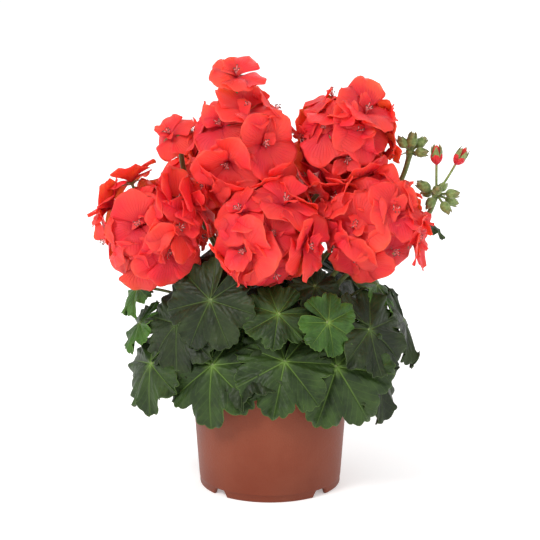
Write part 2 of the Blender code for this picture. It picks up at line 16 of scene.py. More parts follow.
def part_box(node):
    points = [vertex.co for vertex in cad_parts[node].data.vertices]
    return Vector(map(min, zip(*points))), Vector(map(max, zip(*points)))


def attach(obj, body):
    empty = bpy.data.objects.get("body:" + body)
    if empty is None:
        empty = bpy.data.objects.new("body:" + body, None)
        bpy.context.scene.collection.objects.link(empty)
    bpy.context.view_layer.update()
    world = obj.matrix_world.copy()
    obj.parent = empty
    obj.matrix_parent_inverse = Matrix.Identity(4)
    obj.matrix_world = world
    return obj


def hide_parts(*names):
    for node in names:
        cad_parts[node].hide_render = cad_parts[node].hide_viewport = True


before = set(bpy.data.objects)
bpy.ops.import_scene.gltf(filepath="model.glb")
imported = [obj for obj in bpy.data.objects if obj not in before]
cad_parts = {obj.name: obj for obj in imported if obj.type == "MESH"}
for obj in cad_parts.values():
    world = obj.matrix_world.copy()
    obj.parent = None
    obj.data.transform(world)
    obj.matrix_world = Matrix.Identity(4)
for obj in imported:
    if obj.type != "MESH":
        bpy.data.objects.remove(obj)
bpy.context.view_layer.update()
pot_low, pot_high = (np.array(corner, float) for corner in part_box("pot"))
PLANT_AXIS = (pot_low + pot_high) / 2 * (1, 1, 0)
print("frame nodes:", len(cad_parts))

# %% [markdown]
# ## Small tools for vectors and curves
# Nearly everything on a plant is a soft curve, so stems, petioles and stalks all follow Bezier
# curves. Working on whole numpy arrays keeps each formula readable: one row is one point.

# %% Vectors and curves
Y, Z = np.eye(3)[1:]


def unit(vector):
    """The vector, or each row of vectors, divided by its length."""
    vector = np.asarray(vector, float)
    return vector / np.maximum(np.linalg.norm(vector, axis=-1, keepdims=True), 1e-12)


def direction(azimuth, elevation):
    """Unit vector: azimuth 0 is the front (-Y) and 90 is +X, elevation is up from the ground."""
    a, e = math.radians(azimuth), math.radians(elevation)
    return np.array([math.sin(a) * math.cos(e), -math.cos(a) * math.cos(e), math.sin(e)])


def bezier(controls, t):
    """Points of a Bezier curve at the shares t, by repeated blending of neighbouring controls."""
    t = np.atleast_1d(t)[:, None]
    rows = [np.asarray(c, float)[None, :] * np.ones_like(t) for c in controls]
    while len(rows) > 1:
        rows = [a * (1 - t) + b * t for a, b in zip(rows, rows[1:])]
    return rows[0]


def smooth(x, low, high):
    """0 below low, 1 above high, and the S-curve 3s^2 - 2s^3 between."""
    s = np.clip((x - low) / (high - low), 0, 1)
    return s * s * (3 - 2 * s)

# %% [markdown]
# ## From grids to meshes
# A petal, a leaf or a tube is a grid of points that are a function of two parameters. A block is
# such a grid with its faces and with two numbers for each point, across and along, which the
# materials read later to draw veins and edges. Many blocks make one piece. A thin piece gets its
# thickness from a Solidify modifier, which also closes its edge.

# %% Blocks and pieces
def grid_faces(rows, columns, wrap):
    """Quads between neighbouring points of a grid stored row by row.

    Each quad goes from a point to the next column, up one row, and back. With wrap, the last
    column is joined to the first.
    """
    last = columns if wrap else columns - 1
    row, column = np.meshgrid(np.arange(rows - 1), np.arange(last), indexing="ij")
    low, high, beside = row * columns, (row + 1) * columns, (column + 1) % columns
    return np.stack([low + column, low + beside, high + beside, high + column], -1).reshape(-1, 4)


def block(points, faces, across, along):
    """One block: its points, its faces as a list of index arrays, and the two numbers of each point."""
    count = points.reshape(-1, 3).shape[0]
    spread = [np.broadcast_to(value, points.shape[:-1]).reshape(count) for value in (across, along)]
    return points.reshape(count, 3), [np.asarray(f) for f in faces], *spread


def add_object(name, data):
    """A new object in the scene that holds the given mesh, light or camera."""
    made = bpy.data.objects.new(name, data)
    bpy.context.scene.collection.objects.link(made)
    return made


def make_piece(name, blocks, material, replaced=(), thickness=0.0, offset=-1.0):
    """Joins blocks into one mesh object that rides on the plant, and hides the solids it stands for.

    A thickness gives a thin surface its wall: behind it when offset is -1, half each way when it is 0.
    """
    points = np.concatenate([b[0] for b in blocks])
    starts = np.cumsum([0] + [len(b[0]) for b in blocks])
    faces = [f + start for b, start in zip(blocks, starts) for f in b[1]]
    loops = [row.tolist() for f in faces for row in f]
    mesh = bpy.data.meshes.new(name)
    mesh.from_pydata(points.tolist(), [], loops)
    for label, index in (("across", 2), ("along", 3)):
        values = np.concatenate([b[index] for b in blocks]).astype(np.float32)
        mesh.attributes.new(label, "FLOAT", "POINT").data.foreach_set("value", values)
    mesh.shade_smooth()
    piece = add_object(name, mesh)
    mesh.materials.append(material)
    if thickness:
        wall = piece.modifiers.new("thickness", "SOLIDIFY")
        wall.thickness = thickness
        wall.offset = offset
    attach(piece, "root")
    if replaced:
        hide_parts(*replaced)
    return piece


def tube_block(path, radii, sides):
    """A closed tube: rings of the given radii at right angles to the path, with a flat cap at each end."""
    tangent = unit(np.gradient(path, axis=0))
    chord = unit(path[-1] - path[0])
    helper = np.eye(3)[np.argmin(np.abs(chord))]
    side = unit(np.cross(tangent, unit(np.cross(chord, helper))))
    other = np.cross(tangent, side)
    angle = np.linspace(0, 2 * np.pi, sides, endpoint=False)
    ring = np.cos(angle)[None, :, None] * side[:, None] + np.sin(angle)[None, :, None] * other[:, None]
    points = path[:, None] + ring * np.broadcast_to(radii, (len(path),))[:, None, None]
    first, last = np.arange(sides)[::-1], np.arange(sides) + (len(path) - 1) * sides
    faces = [grid_faces(len(path), sides, True), first[None, :], last[None, :]]
    along = np.linspace(0, 1, len(path))[:, None]
    return block(points, faces, angle[None, :] / (2 * np.pi), along)


def turned_block(profile, segments):
    """A profile of (radius, height) rows, turned once about Z; across is the turn and along is the row."""
    profile = np.array(profile)
    angle = np.linspace(0, 2 * np.pi, segments, endpoint=False)
    radius, height = profile[:, 0, None], profile[:, 1, None]
    points = np.stack([radius * np.cos(angle), radius * np.sin(angle), height + 0 * angle], -1)
    along = np.linspace(0, 1, len(profile))[:, None]
    return block(points, [grid_faces(len(profile), segments, True)], angle / (2 * np.pi), along)

# %% [markdown]
# ## Writing shaders as expressions
# A vein or an edge is easiest to write as a formula. The Value class wraps a socket, and its
# operators add Math nodes, so that `1 - mask * 0.5` builds the nodes that work it out.

# %% Shader values
NOISE_ROUGHNESS = 0.55


class Value:
    """A number in a material: a socket together with the material that it belongs to.

    Its operators and methods add the Math nodes that they need, and ramp adds a Map Range node.
    """

    def __init__(self, finish, socket):
        self.finish, self.socket = finish, socket

    def math(self, operation, *others):
        """The result of a Math node, with this value first."""
        inputs = {i: v for i, v in enumerate((self, *others))}
        return self.finish.node("ShaderNodeMath", {"operation": operation}, inputs)

    def __add__(self, other):
        return self.math("ADD", other)

    def __mul__(self, other):
        return self.math("MULTIPLY", other)

    def __sub__(self, other):
        return self.math("SUBTRACT", other)

    def __rsub__(self, other):
        return self * -1 + other

    def fraction(self):
        """The part after the decimal point, which turns a slope into a saw wave."""
        return self.math("FRACT")

    def absolute(self):
        """The value without its sign, which turns a slope through zero into a valley."""
        return self.math("ABSOLUTE")

    def ramp(self, low, high):
        """0 where this value is low or less, 1 where it is high or more, and smooth between."""
        settings = {"interpolation_type": "SMOOTHSTEP"}
        return self.finish.node("ShaderNodeMapRange", settings, {0: self, 1: low, 2: high})


class Finish:
    """A material being written: a Principled shader and the nodes that feed it."""

    def __init__(self, name, roughness, **constants):
        self.material = bpy.data.materials.new(name)
        self.material.use_nodes = True
        self.tree = self.material.node_tree
        self.shader = self.tree.nodes["Principled BSDF"]
        self.shader.inputs["Roughness"].default_value = roughness
        for label, value in constants.items():
            self.shader.inputs[label.replace("_", " ")].default_value = value

    def node(self, kind, settings=None, inputs=None, output=0):
        """Adds a node: its settings first, then the values or links of its sockets."""
        made = self.tree.nodes.new(kind)
        for key, value in (settings or {}).items():
            setattr(made, key, value)
        for key, value in (inputs or {}).items():
            if isinstance(value, Value):
                self.tree.links.new(value.socket, made.inputs[key])
            else:
                made.inputs[key].default_value = value
        return Value(self, made.outputs[output])

    def attribute(self, name):
        """One of the two numbers that each point of a block carries."""
        return self.node("ShaderNodeAttribute", {"attribute_name": name}, output="Fac")

    def place(self):
        """The position on the piece, which keeps a pattern still on it."""
        return self.node("ShaderNodeTexCoord", output="Object")

    def noise(self, scale, detail):
        """Soft random patches, about one metre divided by scale across."""
        inputs = {"Vector": self.place(), "Scale": scale, "Detail": detail, "Roughness": NOISE_ROUGHNESS}
        return self.node("ShaderNodeTexNoise", {}, inputs)

    def blend(self, share, first, second):
        """A colour between two colours, each a triple or a socket."""
        first, second = (c if isinstance(c, Value) else (*c, 1) for c in (first, second))
        inputs = {0: share, 6: first, 7: second}
        return self.node("ShaderNodeMix", {"data_type": "RGBA"}, inputs, output=2)

    def colour(self, value):
        """Make a value the surface's colour."""
        self.tree.links.new(value.socket, self.shader.inputs["Base Color"])

    def rough(self, value):
        """Make a value the surface's roughness."""
        self.tree.links.new(value.socket, self.shader.inputs["Roughness"])

    def relief(self, height, distance):
        """Shade the surface as if it rose by distance, in metres, wherever the height goes up by one."""
        inputs = {"Height": height, "Distance": distance, "Strength": 1.0}
        bump = self.node("ShaderNodeBump", {}, inputs)
        self.tree.links.new(bump.socket, self.shader.inputs["Normal"])


def shade(red, green, blue):
    """A colour given as 0 to 255 on screen, turned into the linear values that a shader takes."""
    c = np.array([red, green, blue]) / 255
    return tuple(np.where(c <= 0.04045, c / 12.92, ((c + 0.055) / 1.055) ** 2.4).tolist())

# %% [markdown]
# ## The stems
# A few stems carry everything. They repeat the design's curves: where each one starts, where it
# bends and where it ends, with its two radii. A stem of a geranium isn't even: it swells at each
# node where a leaf has sat, which a row of soft bumps along the tube gives.

# %% Stem curves
STEM_RINGS, STEM_SIDES, NODE_SWELL, NODES, END_TAPER = 40, 16, 0.14, 10, 0.8
# Each stem: its start, bend and tip, measured from the pot's axis, and its first and last radius.
BRANCHES = {
    "main_stem": ((0, 0, 0.069), (0.001, 0.003, 0.120), (0.000, 0.004, 0.168), 0.0060, 0.0036),
    "branch_left": (
        (-0.0112, -0.002, 0.094), (-0.034, -0.004, 0.104), (-0.042, -0.006, 0.150), 0.0040, 0.0029,
    ),
    "branch_right": (
        (0.0112, -0.001, 0.097), (0.036, -0.004, 0.108), (0.044, -0.004, 0.154), 0.0040, 0.0029,
    ),
    "branch_front": (
        (0.002, -0.0112, 0.091), (0.004, -0.030, 0.098), (0.004, -0.030, 0.136), 0.0038, 0.0028,
    ),
    "branch_back_left": (
        (-0.008, 0.0085, 0.096), (-0.026, 0.030, 0.104), (-0.030, 0.034, 0.150), 0.0038, 0.0028,
    ),
    "branch_back_right": (
        (0.008, 0.0085, 0.098), (0.028, 0.030, 0.108), (0.030, 0.034, 0.152), 0.0038, 0.0028,
    ),
}


def branch_point(name, share):
    """The point at a share of the way along a stem's curve."""
    return bezier(BRANCHES[name][:3], share)[0] + PLANT_AXIS


stem_finish = Finish("woody_stem", 0.75)
bark = stem_finish.noise(260, 5)
stem_finish.colour(stem_finish.blend(bark.ramp(0.35, 0.65), shade(92, 84, 58), shade(112, 118, 68)))
stem_finish.relief(bark, 0.0006)

green_finish = Finish("green_stem", 0.55, Sheen_Weight=0.15)
flecks = green_finish.noise(320, 4)
green_finish.colour(green_finish.blend(flecks.ramp(0.3, 0.7), shade(88, 108, 52), shade(122, 140, 76)))
green_finish.relief(flecks, 0.0002)


def make_stem(name, start, bend, tip, first, last):
    """One stem: its radius goes evenly from first to last, and swells at every tenth of its curve."""
    share = np.linspace(0, 1, STEM_RINGS)
    radii = (first + (last - first) * share) * (1 + NODE_SWELL * np.cos(share * NODES * np.pi) ** 6)
    radii[[0, -1]] *= END_TAPER
    stem = tube_block(bezier((start, bend, tip), share) + PLANT_AXIS, radii, STEM_SIDES)
    finish, slot = (stem_finish, "woody_stem") if name == "main_stem" else (green_finish, "green_stem")
    make_piece(name + "_bark", [stem], finish.material, [name])


for name, shape in BRANCHES.items():
    make_stem(name, *shape)
print("stems:", len(BRANCHES))

# %% [markdown]
# ## Reading a leaf's place from the frame
# Each leaf solid is a shallow fan of triangles on a thin petiole. A leaf's whole pose can be read
# from that mesh: its normal is the direction that most of its area faces, its middle is the point
# where the most upper triangles meet, its tip is the rim point furthest from there, and the
# petiole's foot is the point furthest behind the blade. Measuring keeps the leaves where the
# design has them, whatever size they are given.

# %% Measure the leaves
PETIOLE_RADIUS, LEAF_SOLID_THICKNESS = 0.0014, 0.0011
FOOT_SEARCH = 2.2 * PETIOLE_RADIUS
BLADE_FACING, UPPER_FACING = 0.9, 0.85
SIDE_REACH = 0.3


def near_mean(points, place, radius):
    """The average of the points within a radius of a place, each place counted once."""
    close = points[np.linalg.norm(points - place, axis=1) < radius]
    return np.unique(np.round(close, 5), axis=0).mean(0)


def measure_leaf(node):
    """The middle, tip direction, normal, length and petiole foot of one leaf solid.

    The normal is the main axis of the triangles' directions, each with the weight of its area. It
    is worked out again twice without those that face away from it, which are the petiole's. The
    foot is the point that is deepest behind the blade, and a little to its side.
    """
    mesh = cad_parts[node].data
    mesh.calc_loop_triangles()
    points = np.array([v.co for v in mesh.vertices])
    triangles = points[np.array([t.vertices for t in mesh.loop_triangles])]
    area = np.cross(triangles[:, 1] - triangles[:, 0], triangles[:, 2] - triangles[:, 0])
    size = np.linalg.norm(area, axis=1) + 1e-12
    facing = area / size[:, None]
    keep = np.ones(len(facing), bool)
    for _ in range(3):
        spread = (facing[keep] * size[keep, None]).T @ facing[keep]
        normal = np.linalg.eigh(spread)[1][:, -1]
        keep = np.abs(facing @ normal) > BLADE_FACING
    normal = normal * np.sign(normal[2])
    upper = triangles[facing @ normal > UPPER_FACING]
    corners, hits = np.unique(np.round(upper.reshape(-1, 3), 5), axis=0, return_counts=True)
    apex = corners[np.argmax(hits)]
    rim = corners[np.argmax(np.linalg.norm(corners - apex, axis=1))] - apex
    flat = rim - normal * (rim @ normal)
    away = points - apex
    deepest = points[np.argmax(SIDE_REACH * np.linalg.norm(away, axis=1) - away @ normal)]
    foot = near_mean(points, deepest, FOOT_SEARCH)
    middle = apex - normal * LEAF_SOLID_THICKNESS / 2
    return middle, unit(flat), normal, float(np.linalg.norm(flat)), foot


leaves = {name: measure_leaf(name) for name in sorted(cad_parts) if name.startswith("leaf_")}
print("leaf lengths in mm:", [round(leaf[3] * 1000, 1) for leaf in leaves.values()])

# %% [markdown]
# ## The leaves
# A zonal geranium's leaf is round, with seven shallow lobes, scalloped edges and a notch where the
# petiole arrives. It is pleated like a fan: each main vein lies in a valley, and the edge ruffles.
# A flat image on a card would look flat from the side, so the blade is a disc in polar steps whose
# outline and height are both formulas of the angle and of the share of the way to the edge.

# %% Leaf surface
LOBES, STEPS_IN_HALF_LOBE, LEAF_RINGS, RING_POWER = 7, 13, 14, 0.85
LOBE_DEPTH, LOBE_POWER, NOTCH_WIDTH, NOTCH_DEPTH = 0.21, 3.2, 0.13, 0.90
TEETH_IN_LOBE, TOOTH_DEPTH, TOOTH_POWER = 5, 0.050, 0.8
DROOP, PLEAT, RUFFLE, FULLNESS = 0.16, 0.150, 0.085, 1.15
VEIN_DIP, VEIN_DIP_WIDTH = 0.010, 0.10
EDGE_WAVES = ((5, 1.0), (11, 0.8), (19, 0.5), (31, 0.3))
ANY_PHASE = (0, 6.28)
LEAF_WALL, BLADE_LIFT = 0.0005, 0.0002
PETIOLE_RINGS, PETIOLE_SIDES, PETIOLE_THIN, PETIOLE_SWELL = 18, 10, 0.0011, 0.0004


def leaf_edge(angle, vein, rng):
    """How far out the edge is at each angle, and how deep its lobes and teeth cut into it.

    Edge = rounded heart x (1 - notch). Lobes are a power of the distance to the nearest main
    vein. Teeth are |cos|, which is round outside and sharp inside.
    """
    lobe = np.round(LOBES * angle / (2 * np.pi)).astype(int) % LOBES
    indent = LOBE_DEPTH * rng.uniform(0.7, 1.2, LOBES)[lobe] * vein**LOBE_POWER
    wobble = 0.35 * np.sin(3 * angle + rng.uniform(*ANY_PHASE))
    tooth = 1 - np.abs(np.cos(LOBES * TEETH_IN_LOBE * angle / 2 + wobble)) ** TOOTH_POWER
    rounded = FULLNESS * (0.93 + 0.07 * np.cos(angle))
    notch = 1 - NOTCH_DEPTH * np.exp(-(((np.pi - np.abs(angle)) / NOTCH_WIDTH) ** 2))
    return rounded * notch, indent + TOOTH_DEPTH * tooth


def leaf_height(share, reach, angle, vein, rng):
    """The blade's height over its own plane, as a share of its length.

    Height = droop towards the edge + pleats that rise between the veins - a narrow dip along each
    vein + four waves at the edge - a bow across the leaf and another along it.
    """
    sag = DROOP * rng.uniform(0.6, 1.3)
    height = -sag * (0.5 * reach + 0.5 * reach**2)
    height += PLEAT * reach * (0.5 - 0.5 * np.cos(np.pi * vein)) * (1 - 0.45 * share)
    height -= VEIN_DIP * np.exp(-((vein / VEIN_DIP_WIDTH) ** 2)) * share
    for waves, size in EDGE_WAVES:
        swell = RUFFLE * size * rng.uniform(0.6, 1.2)
        height += swell * share**3 * np.sin(waves * angle + rng.uniform(*ANY_PHASE))
    across, forward = reach * np.sin(angle), np.maximum(reach * np.cos(angle), 0)
    return height - (rng.uniform(-0.05, 0.16) * across**2 + rng.uniform(0.0, 0.18) * forward**2)


def leaf_block(middle, tip, normal, length, seed):
    """The blade: a fan of triangles at its middle, then rings at shares of the way to the edge.

    A point lies at share x edge x (1 - cut x share^4), so lobes and teeth fade towards the middle.
    """
    rng = np.random.default_rng(seed)
    steps = 2 * LOBES * STEPS_IN_HALF_LOBE
    angle = -np.pi + 2 * np.pi * np.arange(steps) / steps
    vein = np.abs((LOBES * angle / (2 * np.pi) + 0.5) % 1 - 0.5) * 2
    share = np.linspace(0, 1, LEAF_RINGS + 1)[1:, None] ** RING_POWER
    edge, cut = leaf_edge(angle, vein, rng)
    reach = share * edge * (1 - cut * share**4)
    height = leaf_height(share, reach, angle, vein, rng)
    side = np.cross(normal, tip)
    flat = (reach * np.sin(angle))[..., None] * side + (reach * np.cos(angle))[..., None] * tip
    centre = middle + normal * BLADE_LIFT
    rings = centre + length * (flat + height[..., None] * normal)
    points = np.concatenate([[centre], rings.reshape(-1, 3)])
    first = np.arange(steps) + 1
    fan = np.stack([np.zeros(steps, int), first, np.roll(first, -1)], -1)
    faces = [fan, grid_faces(LEAF_RINGS, steps, True)[:, ::-1] + 1]
    beside = np.concatenate([[0], np.broadcast_to(vein, reach.shape).ravel()])
    outward = np.concatenate([[0], np.broadcast_to(share, reach.shape).ravel()])
    return block(points, faces, beside, outward)


def petiole_block(middle, tip, normal, length, foot):
    """The leaf's stalk: a curve that leaves its stem, rises, and meets the blade from behind the notch.

    It is thinnest half way and swells at both ends, by the fourth power of a cosine.
    """
    span = np.linalg.norm(middle - foot)
    lift = foot + unit(middle - foot) * 0.3 * span + Z * 0.18 * span
    arrive = middle - tip * 0.25 * length - normal * 0.22 * length
    share = np.linspace(0, 1, PETIOLE_RINGS)
    radii = PETIOLE_THIN + PETIOLE_SWELL * np.cos(share * np.pi) ** 4
    return tube_block(bezier((foot, lift, arrive, middle), share), radii, PETIOLE_SIDES)


print("points in a blade:", 1 + 2 * LOBES * STEPS_IN_HALF_LOBE * LEAF_RINGS)

# %% [markdown]
# ## The leaf's finish
# The upper face is dull dark green, greener and lighter where the petiole joins, with a faint dark
# zone half way out, pale main veins, finer side veins and a thin light edge. The mesh carries how
# far each point is from its main vein and how far out it is, so each of these is a short formula.
# Older leaves are darker and duller, and young ones are a bright yellow green.

# %% Leaf materials
LEAF_SEED, FILLER_SEED = 100, 300


def leaf_finish(name, dark, light, vein_colour):
    """One age of leaf, mottled from dark to light.

    A point's distance from a main vein is its angle's share times the way out. The side veins are
    the middle lines of a saw wave that rises outwards and falls away from each main vein.
    """
    finish = Finish(name, 0.5, Specular_IOR_Level=0.22)
    beside, out = finish.attribute("across"), finish.attribute("along")
    from_vein = beside * out
    main = 1 - from_vein.ramp(0.006, 0.050)
    from_side_vein = ((out * 7.0 - from_vein * 4.5).fraction() - 0.5).absolute()
    side_vein = (1 - from_side_vein.ramp(0.0, 0.07)) * from_vein.ramp(0.02, 0.1)
    patch, fine, dents = finish.noise(55, 4), finish.noise(420, 3), finish.noise(130, 2)
    base = finish.blend(patch.ramp(0.36, 0.64), dark, light)
    zone = out.ramp(0.22, 0.42) * (1 - out.ramp(0.55, 0.78))
    base = finish.blend(zone * 0.30, base, tuple(c * 0.55 for c in dark))
    base = finish.blend((1 - out.ramp(0.02, 0.22)) * 0.55, base, vein_colour)
    base = finish.blend(side_vein * 0.16, base, vein_colour)
    base = finish.blend(main * (1 - out * 0.80) * 0.75, base, vein_colour)
    base = finish.blend(out.ramp(0.975, 1.0) * 0.22, base, tuple(1.6 * c for c in vein_colour))
    finish.colour(finish.blend(fine.ramp(0.35, 0.8) * 0.12, base, light))
    finish.rough(patch * 0.16 + 0.38)
    quilting = from_side_vein * from_vein.ramp(0.0, 0.2) * 0.7
    finish.relief(fine * 0.4 + dents * 2.2 + quilting - main * 0.8, 0.0005)
    return finish.material


LEAF_FINISHES = {
    "mature": leaf_finish("leaf_mature", shade(34, 50, 22), shade(54, 75, 33), shade(104, 134, 58)),
    "dark": leaf_finish("leaf_dark", shade(28, 38, 20), shade(45, 58, 29), shade(80, 102, 48)),
    "young": leaf_finish("leaf_young", shade(44, 72, 26), shade(68, 104, 40), shade(120, 150, 66)),
}
YOUNG = {"leaf_09", "leaf_12", "leaf_13", "leaf_16"}
DARK = {"leaf_06", "leaf_07", "leaf_11", "leaf_14", "leaf_15", "leaf_17", "leaf_18"}


def leaf_age(name, index):
    """The finish of a leaf: young or dark if it is listed, else every fifth is dark."""
    if name in YOUNG:
        return "young"
    return "dark" if name in DARK or index % 5 == 4 else "mature"


def make_leaf(name, place, age, seed, replaced=()):
    """A blade and its petiole; place is the middle, tip direction, normal, length and petiole foot."""
    *blade, foot = place
    make_piece(name + "_blade", [leaf_block(*blade, seed)], LEAF_FINISHES[age], replaced, LEAF_WALL)
    make_piece(name + "_petiole", [petiole_block(*blade, foot)], green_finish.material)


for index, (name, place) in enumerate(leaves.items()):
    make_leaf(name, place, leaf_age(name, index), LEAF_SEED + index, [name])
print("leaves:", len(leaves))

# %% [markdown]
# ## Leaves that close the middle
# On a bushy plant small leaves grow all along the stems, so the bare wood hardly shows between the
# large ones. These stand in two rings round the pot's axis, some of them young in the inner ring.
# They need no solid, so a formula places them: each faces out and up, and grows from the nearest stem.

# %% Filler leaves
INNER_LEAVES, OUTER_LEAVES = 16, 14


def filler_place(index, rng):
    """Middle, tip direction, normal, length and petiole foot of one small leaf.

    The leaves of a ring are evenly turned, a little shaken, and every second one is further out.
    """
    if index < INNER_LEAVES:
        turn = 360 * index / INNER_LEAVES + rng.uniform(-8, 8)
        level, length = rng.uniform(0.112, 0.158), rng.uniform(0.017, 0.024)
        reach = 0.030 + 0.012 * (index % 2)
    else:
        turn = 360 * (index + 0.35) / OUTER_LEAVES + rng.uniform(-6, 6)
        level, length = rng.uniform(0.104, 0.132), rng.uniform(0.025, 0.029)
        reach = 0.047 + 0.006 * (index % 2)
    middle = PLANT_AXIS + direction(turn, 0) * reach + Z * level
    normal, tip = direction(turn + rng.uniform(-25, 25), 52), direction(turn, -38)
    nearest = min(BRANCHES, key=lambda branch: np.linalg.norm(branch_point(branch, 0.7) - middle))
    return middle, unit(tip - normal * (tip @ normal)), normal, length, branch_point(nearest, 0.6)


filler_rng = np.random.default_rng(77)
for index in range(INNER_LEAVES + OUTER_LEAVES):
    age = "young" if index < INNER_LEAVES and index % 3 == 0 else "dark"
    make_leaf(f"filler_leaf_{index + 1:02d}", filler_place(index, filler_rng), age, FILLER_SEED + index)
print("filler leaves:", INNER_LEAVES + OUTER_LEAVES)

# %% [markdown]
# ## The flower stalks
# Every flower head stands on one bare stalk. It leaves its stem in the stem's own direction, then
# curves up to arrive nearly upright under the hub where the pedicels meet. The hub is read from the
# frame: it sits just above the top ring of the stalk's solid.

# %% Stalks
STALK_RINGS, STALK_SIDES, STALK_END_SEARCH = 36, 12, 0.0045
STALK_THIN, STALK_SWELL, STALK_COLLAR, COLLAR_START = 0.0017, 0.0003, 0.0007, 0.965
HUB_ABOVE_STALK, LEAVING, UPRIGHT, STRAIGHT = 0.0037, 0.3, 0.85 * 0.45, 0.15
# Each head: its stem, the share of the stem's length where it leaves, and its florets. Each floret:
# azimuth and elevation from the hub in degrees, distance from the hub, and length of its petals.
HEADS = {
    "left": ("branch_left", 1.0, (
        (28, -24, 0.028, 0.027), (-16, -44, 0.028, 0.026), (66, 44, 0.028, 0.026), (-70, -14, 0.029, 0.025),
        (-88, 30, 0.029, 0.023), (-128, 62, 0.036, 0.023), (94, 8, 0.031, 0.023), (-14, 16, 0.025, 0.026),
        (164, 24, 0.026, 0.022), (-140, -14, 0.026, 0.021),
    )),
    "upper_left": ("main_stem", 0.86, (
        (-18, -18, 0.027, 0.027), (-34, 34, 0.028, 0.026), (34, 8, 0.028, 0.026), (22, 64, 0.028, 0.025),
        (88, 44, 0.032, 0.022), (-34, 84, 0.050, 0.021), (72, -38, 0.030, 0.021), (-86, 14, 0.029, 0.022),
        (178, 30, 0.026, 0.023), (-140, 20, 0.026, 0.021), (134, 0, 0.026, 0.021),
    )),
    "front": ("branch_front", 1.0, (
        (-30, -4, 0.028, 0.028), (8, 18, 0.022, 0.022), (60, -4, 0.029, 0.026), (112, 52, 0.028, 0.023),
        (-112, 40, 0.026, 0.020), (14, -42, 0.027, 0.023), (96, 12, 0.031, 0.022), (-92, 2, 0.024, 0.020),
        (160, 26, 0.024, 0.021),
    )),
    "upper_right": ("main_stem", 1.0, (
        (-28, 24, 0.027, 0.027), (8, -17, 0.026, 0.024), (56, 46, 0.028, 0.027), (-136, 72, 0.028, 0.023),
        (-46, -44, 0.029, 0.020), (95, 6, 0.030, 0.024), (172, 30, 0.026, 0.023), (-110, 8, 0.024, 0.020),
    )),
    "right": ("branch_right", 1.0, (
        (-28, 12, 0.027, 0.027), (30, 28, 0.027, 0.025), (-26, -40, 0.028, 0.025), (26, -26, 0.028, 0.025),
        (-140, 34, 0.024, 0.019), (110, 58, 0.028, 0.022), (-90, -4, 0.028, 0.022), (78, -20, 0.028, 0.024),
        (84, 22, 0.028, 0.024), (168, 10, 0.025, 0.022),
    )),
    "small_left": ("branch_back_left", 0.96, ((-38, 34, 0.011, 0.020),)),
    "back_left": ("branch_back_left", 1.0, (
        (178, 4, 0.025, 0.024), (-132, 24, 0.026, 0.023), (-96, -10, 0.026, 0.022), (-150, 66, 0.026, 0.022),
        (140, 34, 0.026, 0.022), (-168, -40, 0.024, 0.022), (120, -14, 0.026, 0.021),
    )),
    "back_right": ("branch_back_right", 1.0, (
        (174, 2, 0.025, 0.024), (130, 24, 0.026, 0.023), (94, -10, 0.026, 0.022), (150, 66, 0.026, 0.022),
        (-140, 34, 0.026, 0.022), (164, -40, 0.024, 0.022), (-122, -14, 0.026, 0.021),
    )),
}
BUD_HEADS = {
    "buds_right": ("branch_right", 0.93, (
        (-10, 84, 0.024, 0.011), (66, 58, 0.029, 0.011), (0, 26, 0.009, 0.008), (62, 4, 0.011, 0.008),
        (104, -30, 0.012, 0.008), (150, 14, 0.009, 0.007), (-70, 30, 0.009, 0.009), (40, -42, 0.012, 0.008),
        (-30, -30, 0.009, 0.008), (-140, -10, 0.009, 0.007),
    )),
    "buds_upper_right": ("branch_back_right", 0.96, (
        (20, 70, 0.007, 0.009), (100, 40, 0.008, 0.008), (-60, 50, 0.008, 0.008), (50, 6, 0.008, 0.008),
        (170, 20, 0.008, 0.007),
    )),
}
# Florets that only fill the gaps between neighbouring heads; the design has no solid for them.
BETWEEN_HEADS = {
    "left": ((82, 28, 0.036, 0.025), (104, -16, 0.034, 0.024), (40, 8, 0.030, 0.026)),
    "upper_left": ((42, -46, 0.038, 0.025), (-58, -42, 0.036, 0.025), (-4, -62, 0.038, 0.024)),
    "upper_right": ((-72, -50, 0.038, 0.025), (-8, -60, 0.034, 0.025), (40, -48, 0.034, 0.024),
                    (88, -20, 0.031, 0.017)),
    "front": ((-52, 44, 0.032, 0.024), (44, 58, 0.032, 0.025), (-66, -30, 0.028, 0.023)),
    "right": ((-78, 34, 0.030, 0.023), (-60, -24, 0.029, 0.023)),
}
SMALL_HEAD_BUDS = (
    (60, 34, 0.008, 0.008), (140, 10, 0.009, 0.008), (30, -14, 0.009, 0.007), (100, 66, 0.008, 0.008),
    (-140, 16, 0.009, 0.007),
)


def stalk_route(name, branch, share):
    """The four controls of a stalk: its foot, the way it leaves its stem, the way it arrives, and the hub.

    It leaves along its stem, and arrives along a blend of straight up and the straight way there.
    """
    points = np.array([v.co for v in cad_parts["flower_stalk_" + name].data.vertices])
    top = near_mean(points, points[np.argmax(points[:, 2])], STALK_END_SEARCH)
    far = points[np.argmax(np.linalg.norm(points - top, axis=1))]
    foot = near_mean(points, far, STALK_END_SEARCH)
    leave = unit(branch_point(branch, share) - branch_point(branch, share - 0.1))
    hub = top + HUB_ABOVE_STALK * unit(UPRIGHT * Z + STRAIGHT * unit(top - foot))
    span = np.linalg.norm(hub - foot)
    under = hub - UPRIGHT * span * Z - STRAIGHT * (hub - foot)
    return foot, foot + leave * LEAVING * span, under, hub


def make_stalk(name, branch, share):
    """The stalk's skin, a tube that swells at both ends and widens under the hub; returns the hub."""
    route = stalk_route(name, branch, share)
    place = np.linspace(0, 1, STALK_RINGS)
    collar = STALK_COLLAR * smooth(place, COLLAR_START, 1.0)
    radii = STALK_THIN + STALK_SWELL * np.cos(place * np.pi) ** 4 + collar
    skin = tube_block(bezier(route, place), radii, STALK_SIDES)
    node = "flower_stalk_" + name
    make_piece(node + "_skin", [skin], green_finish.material, [node])
    return route[3]

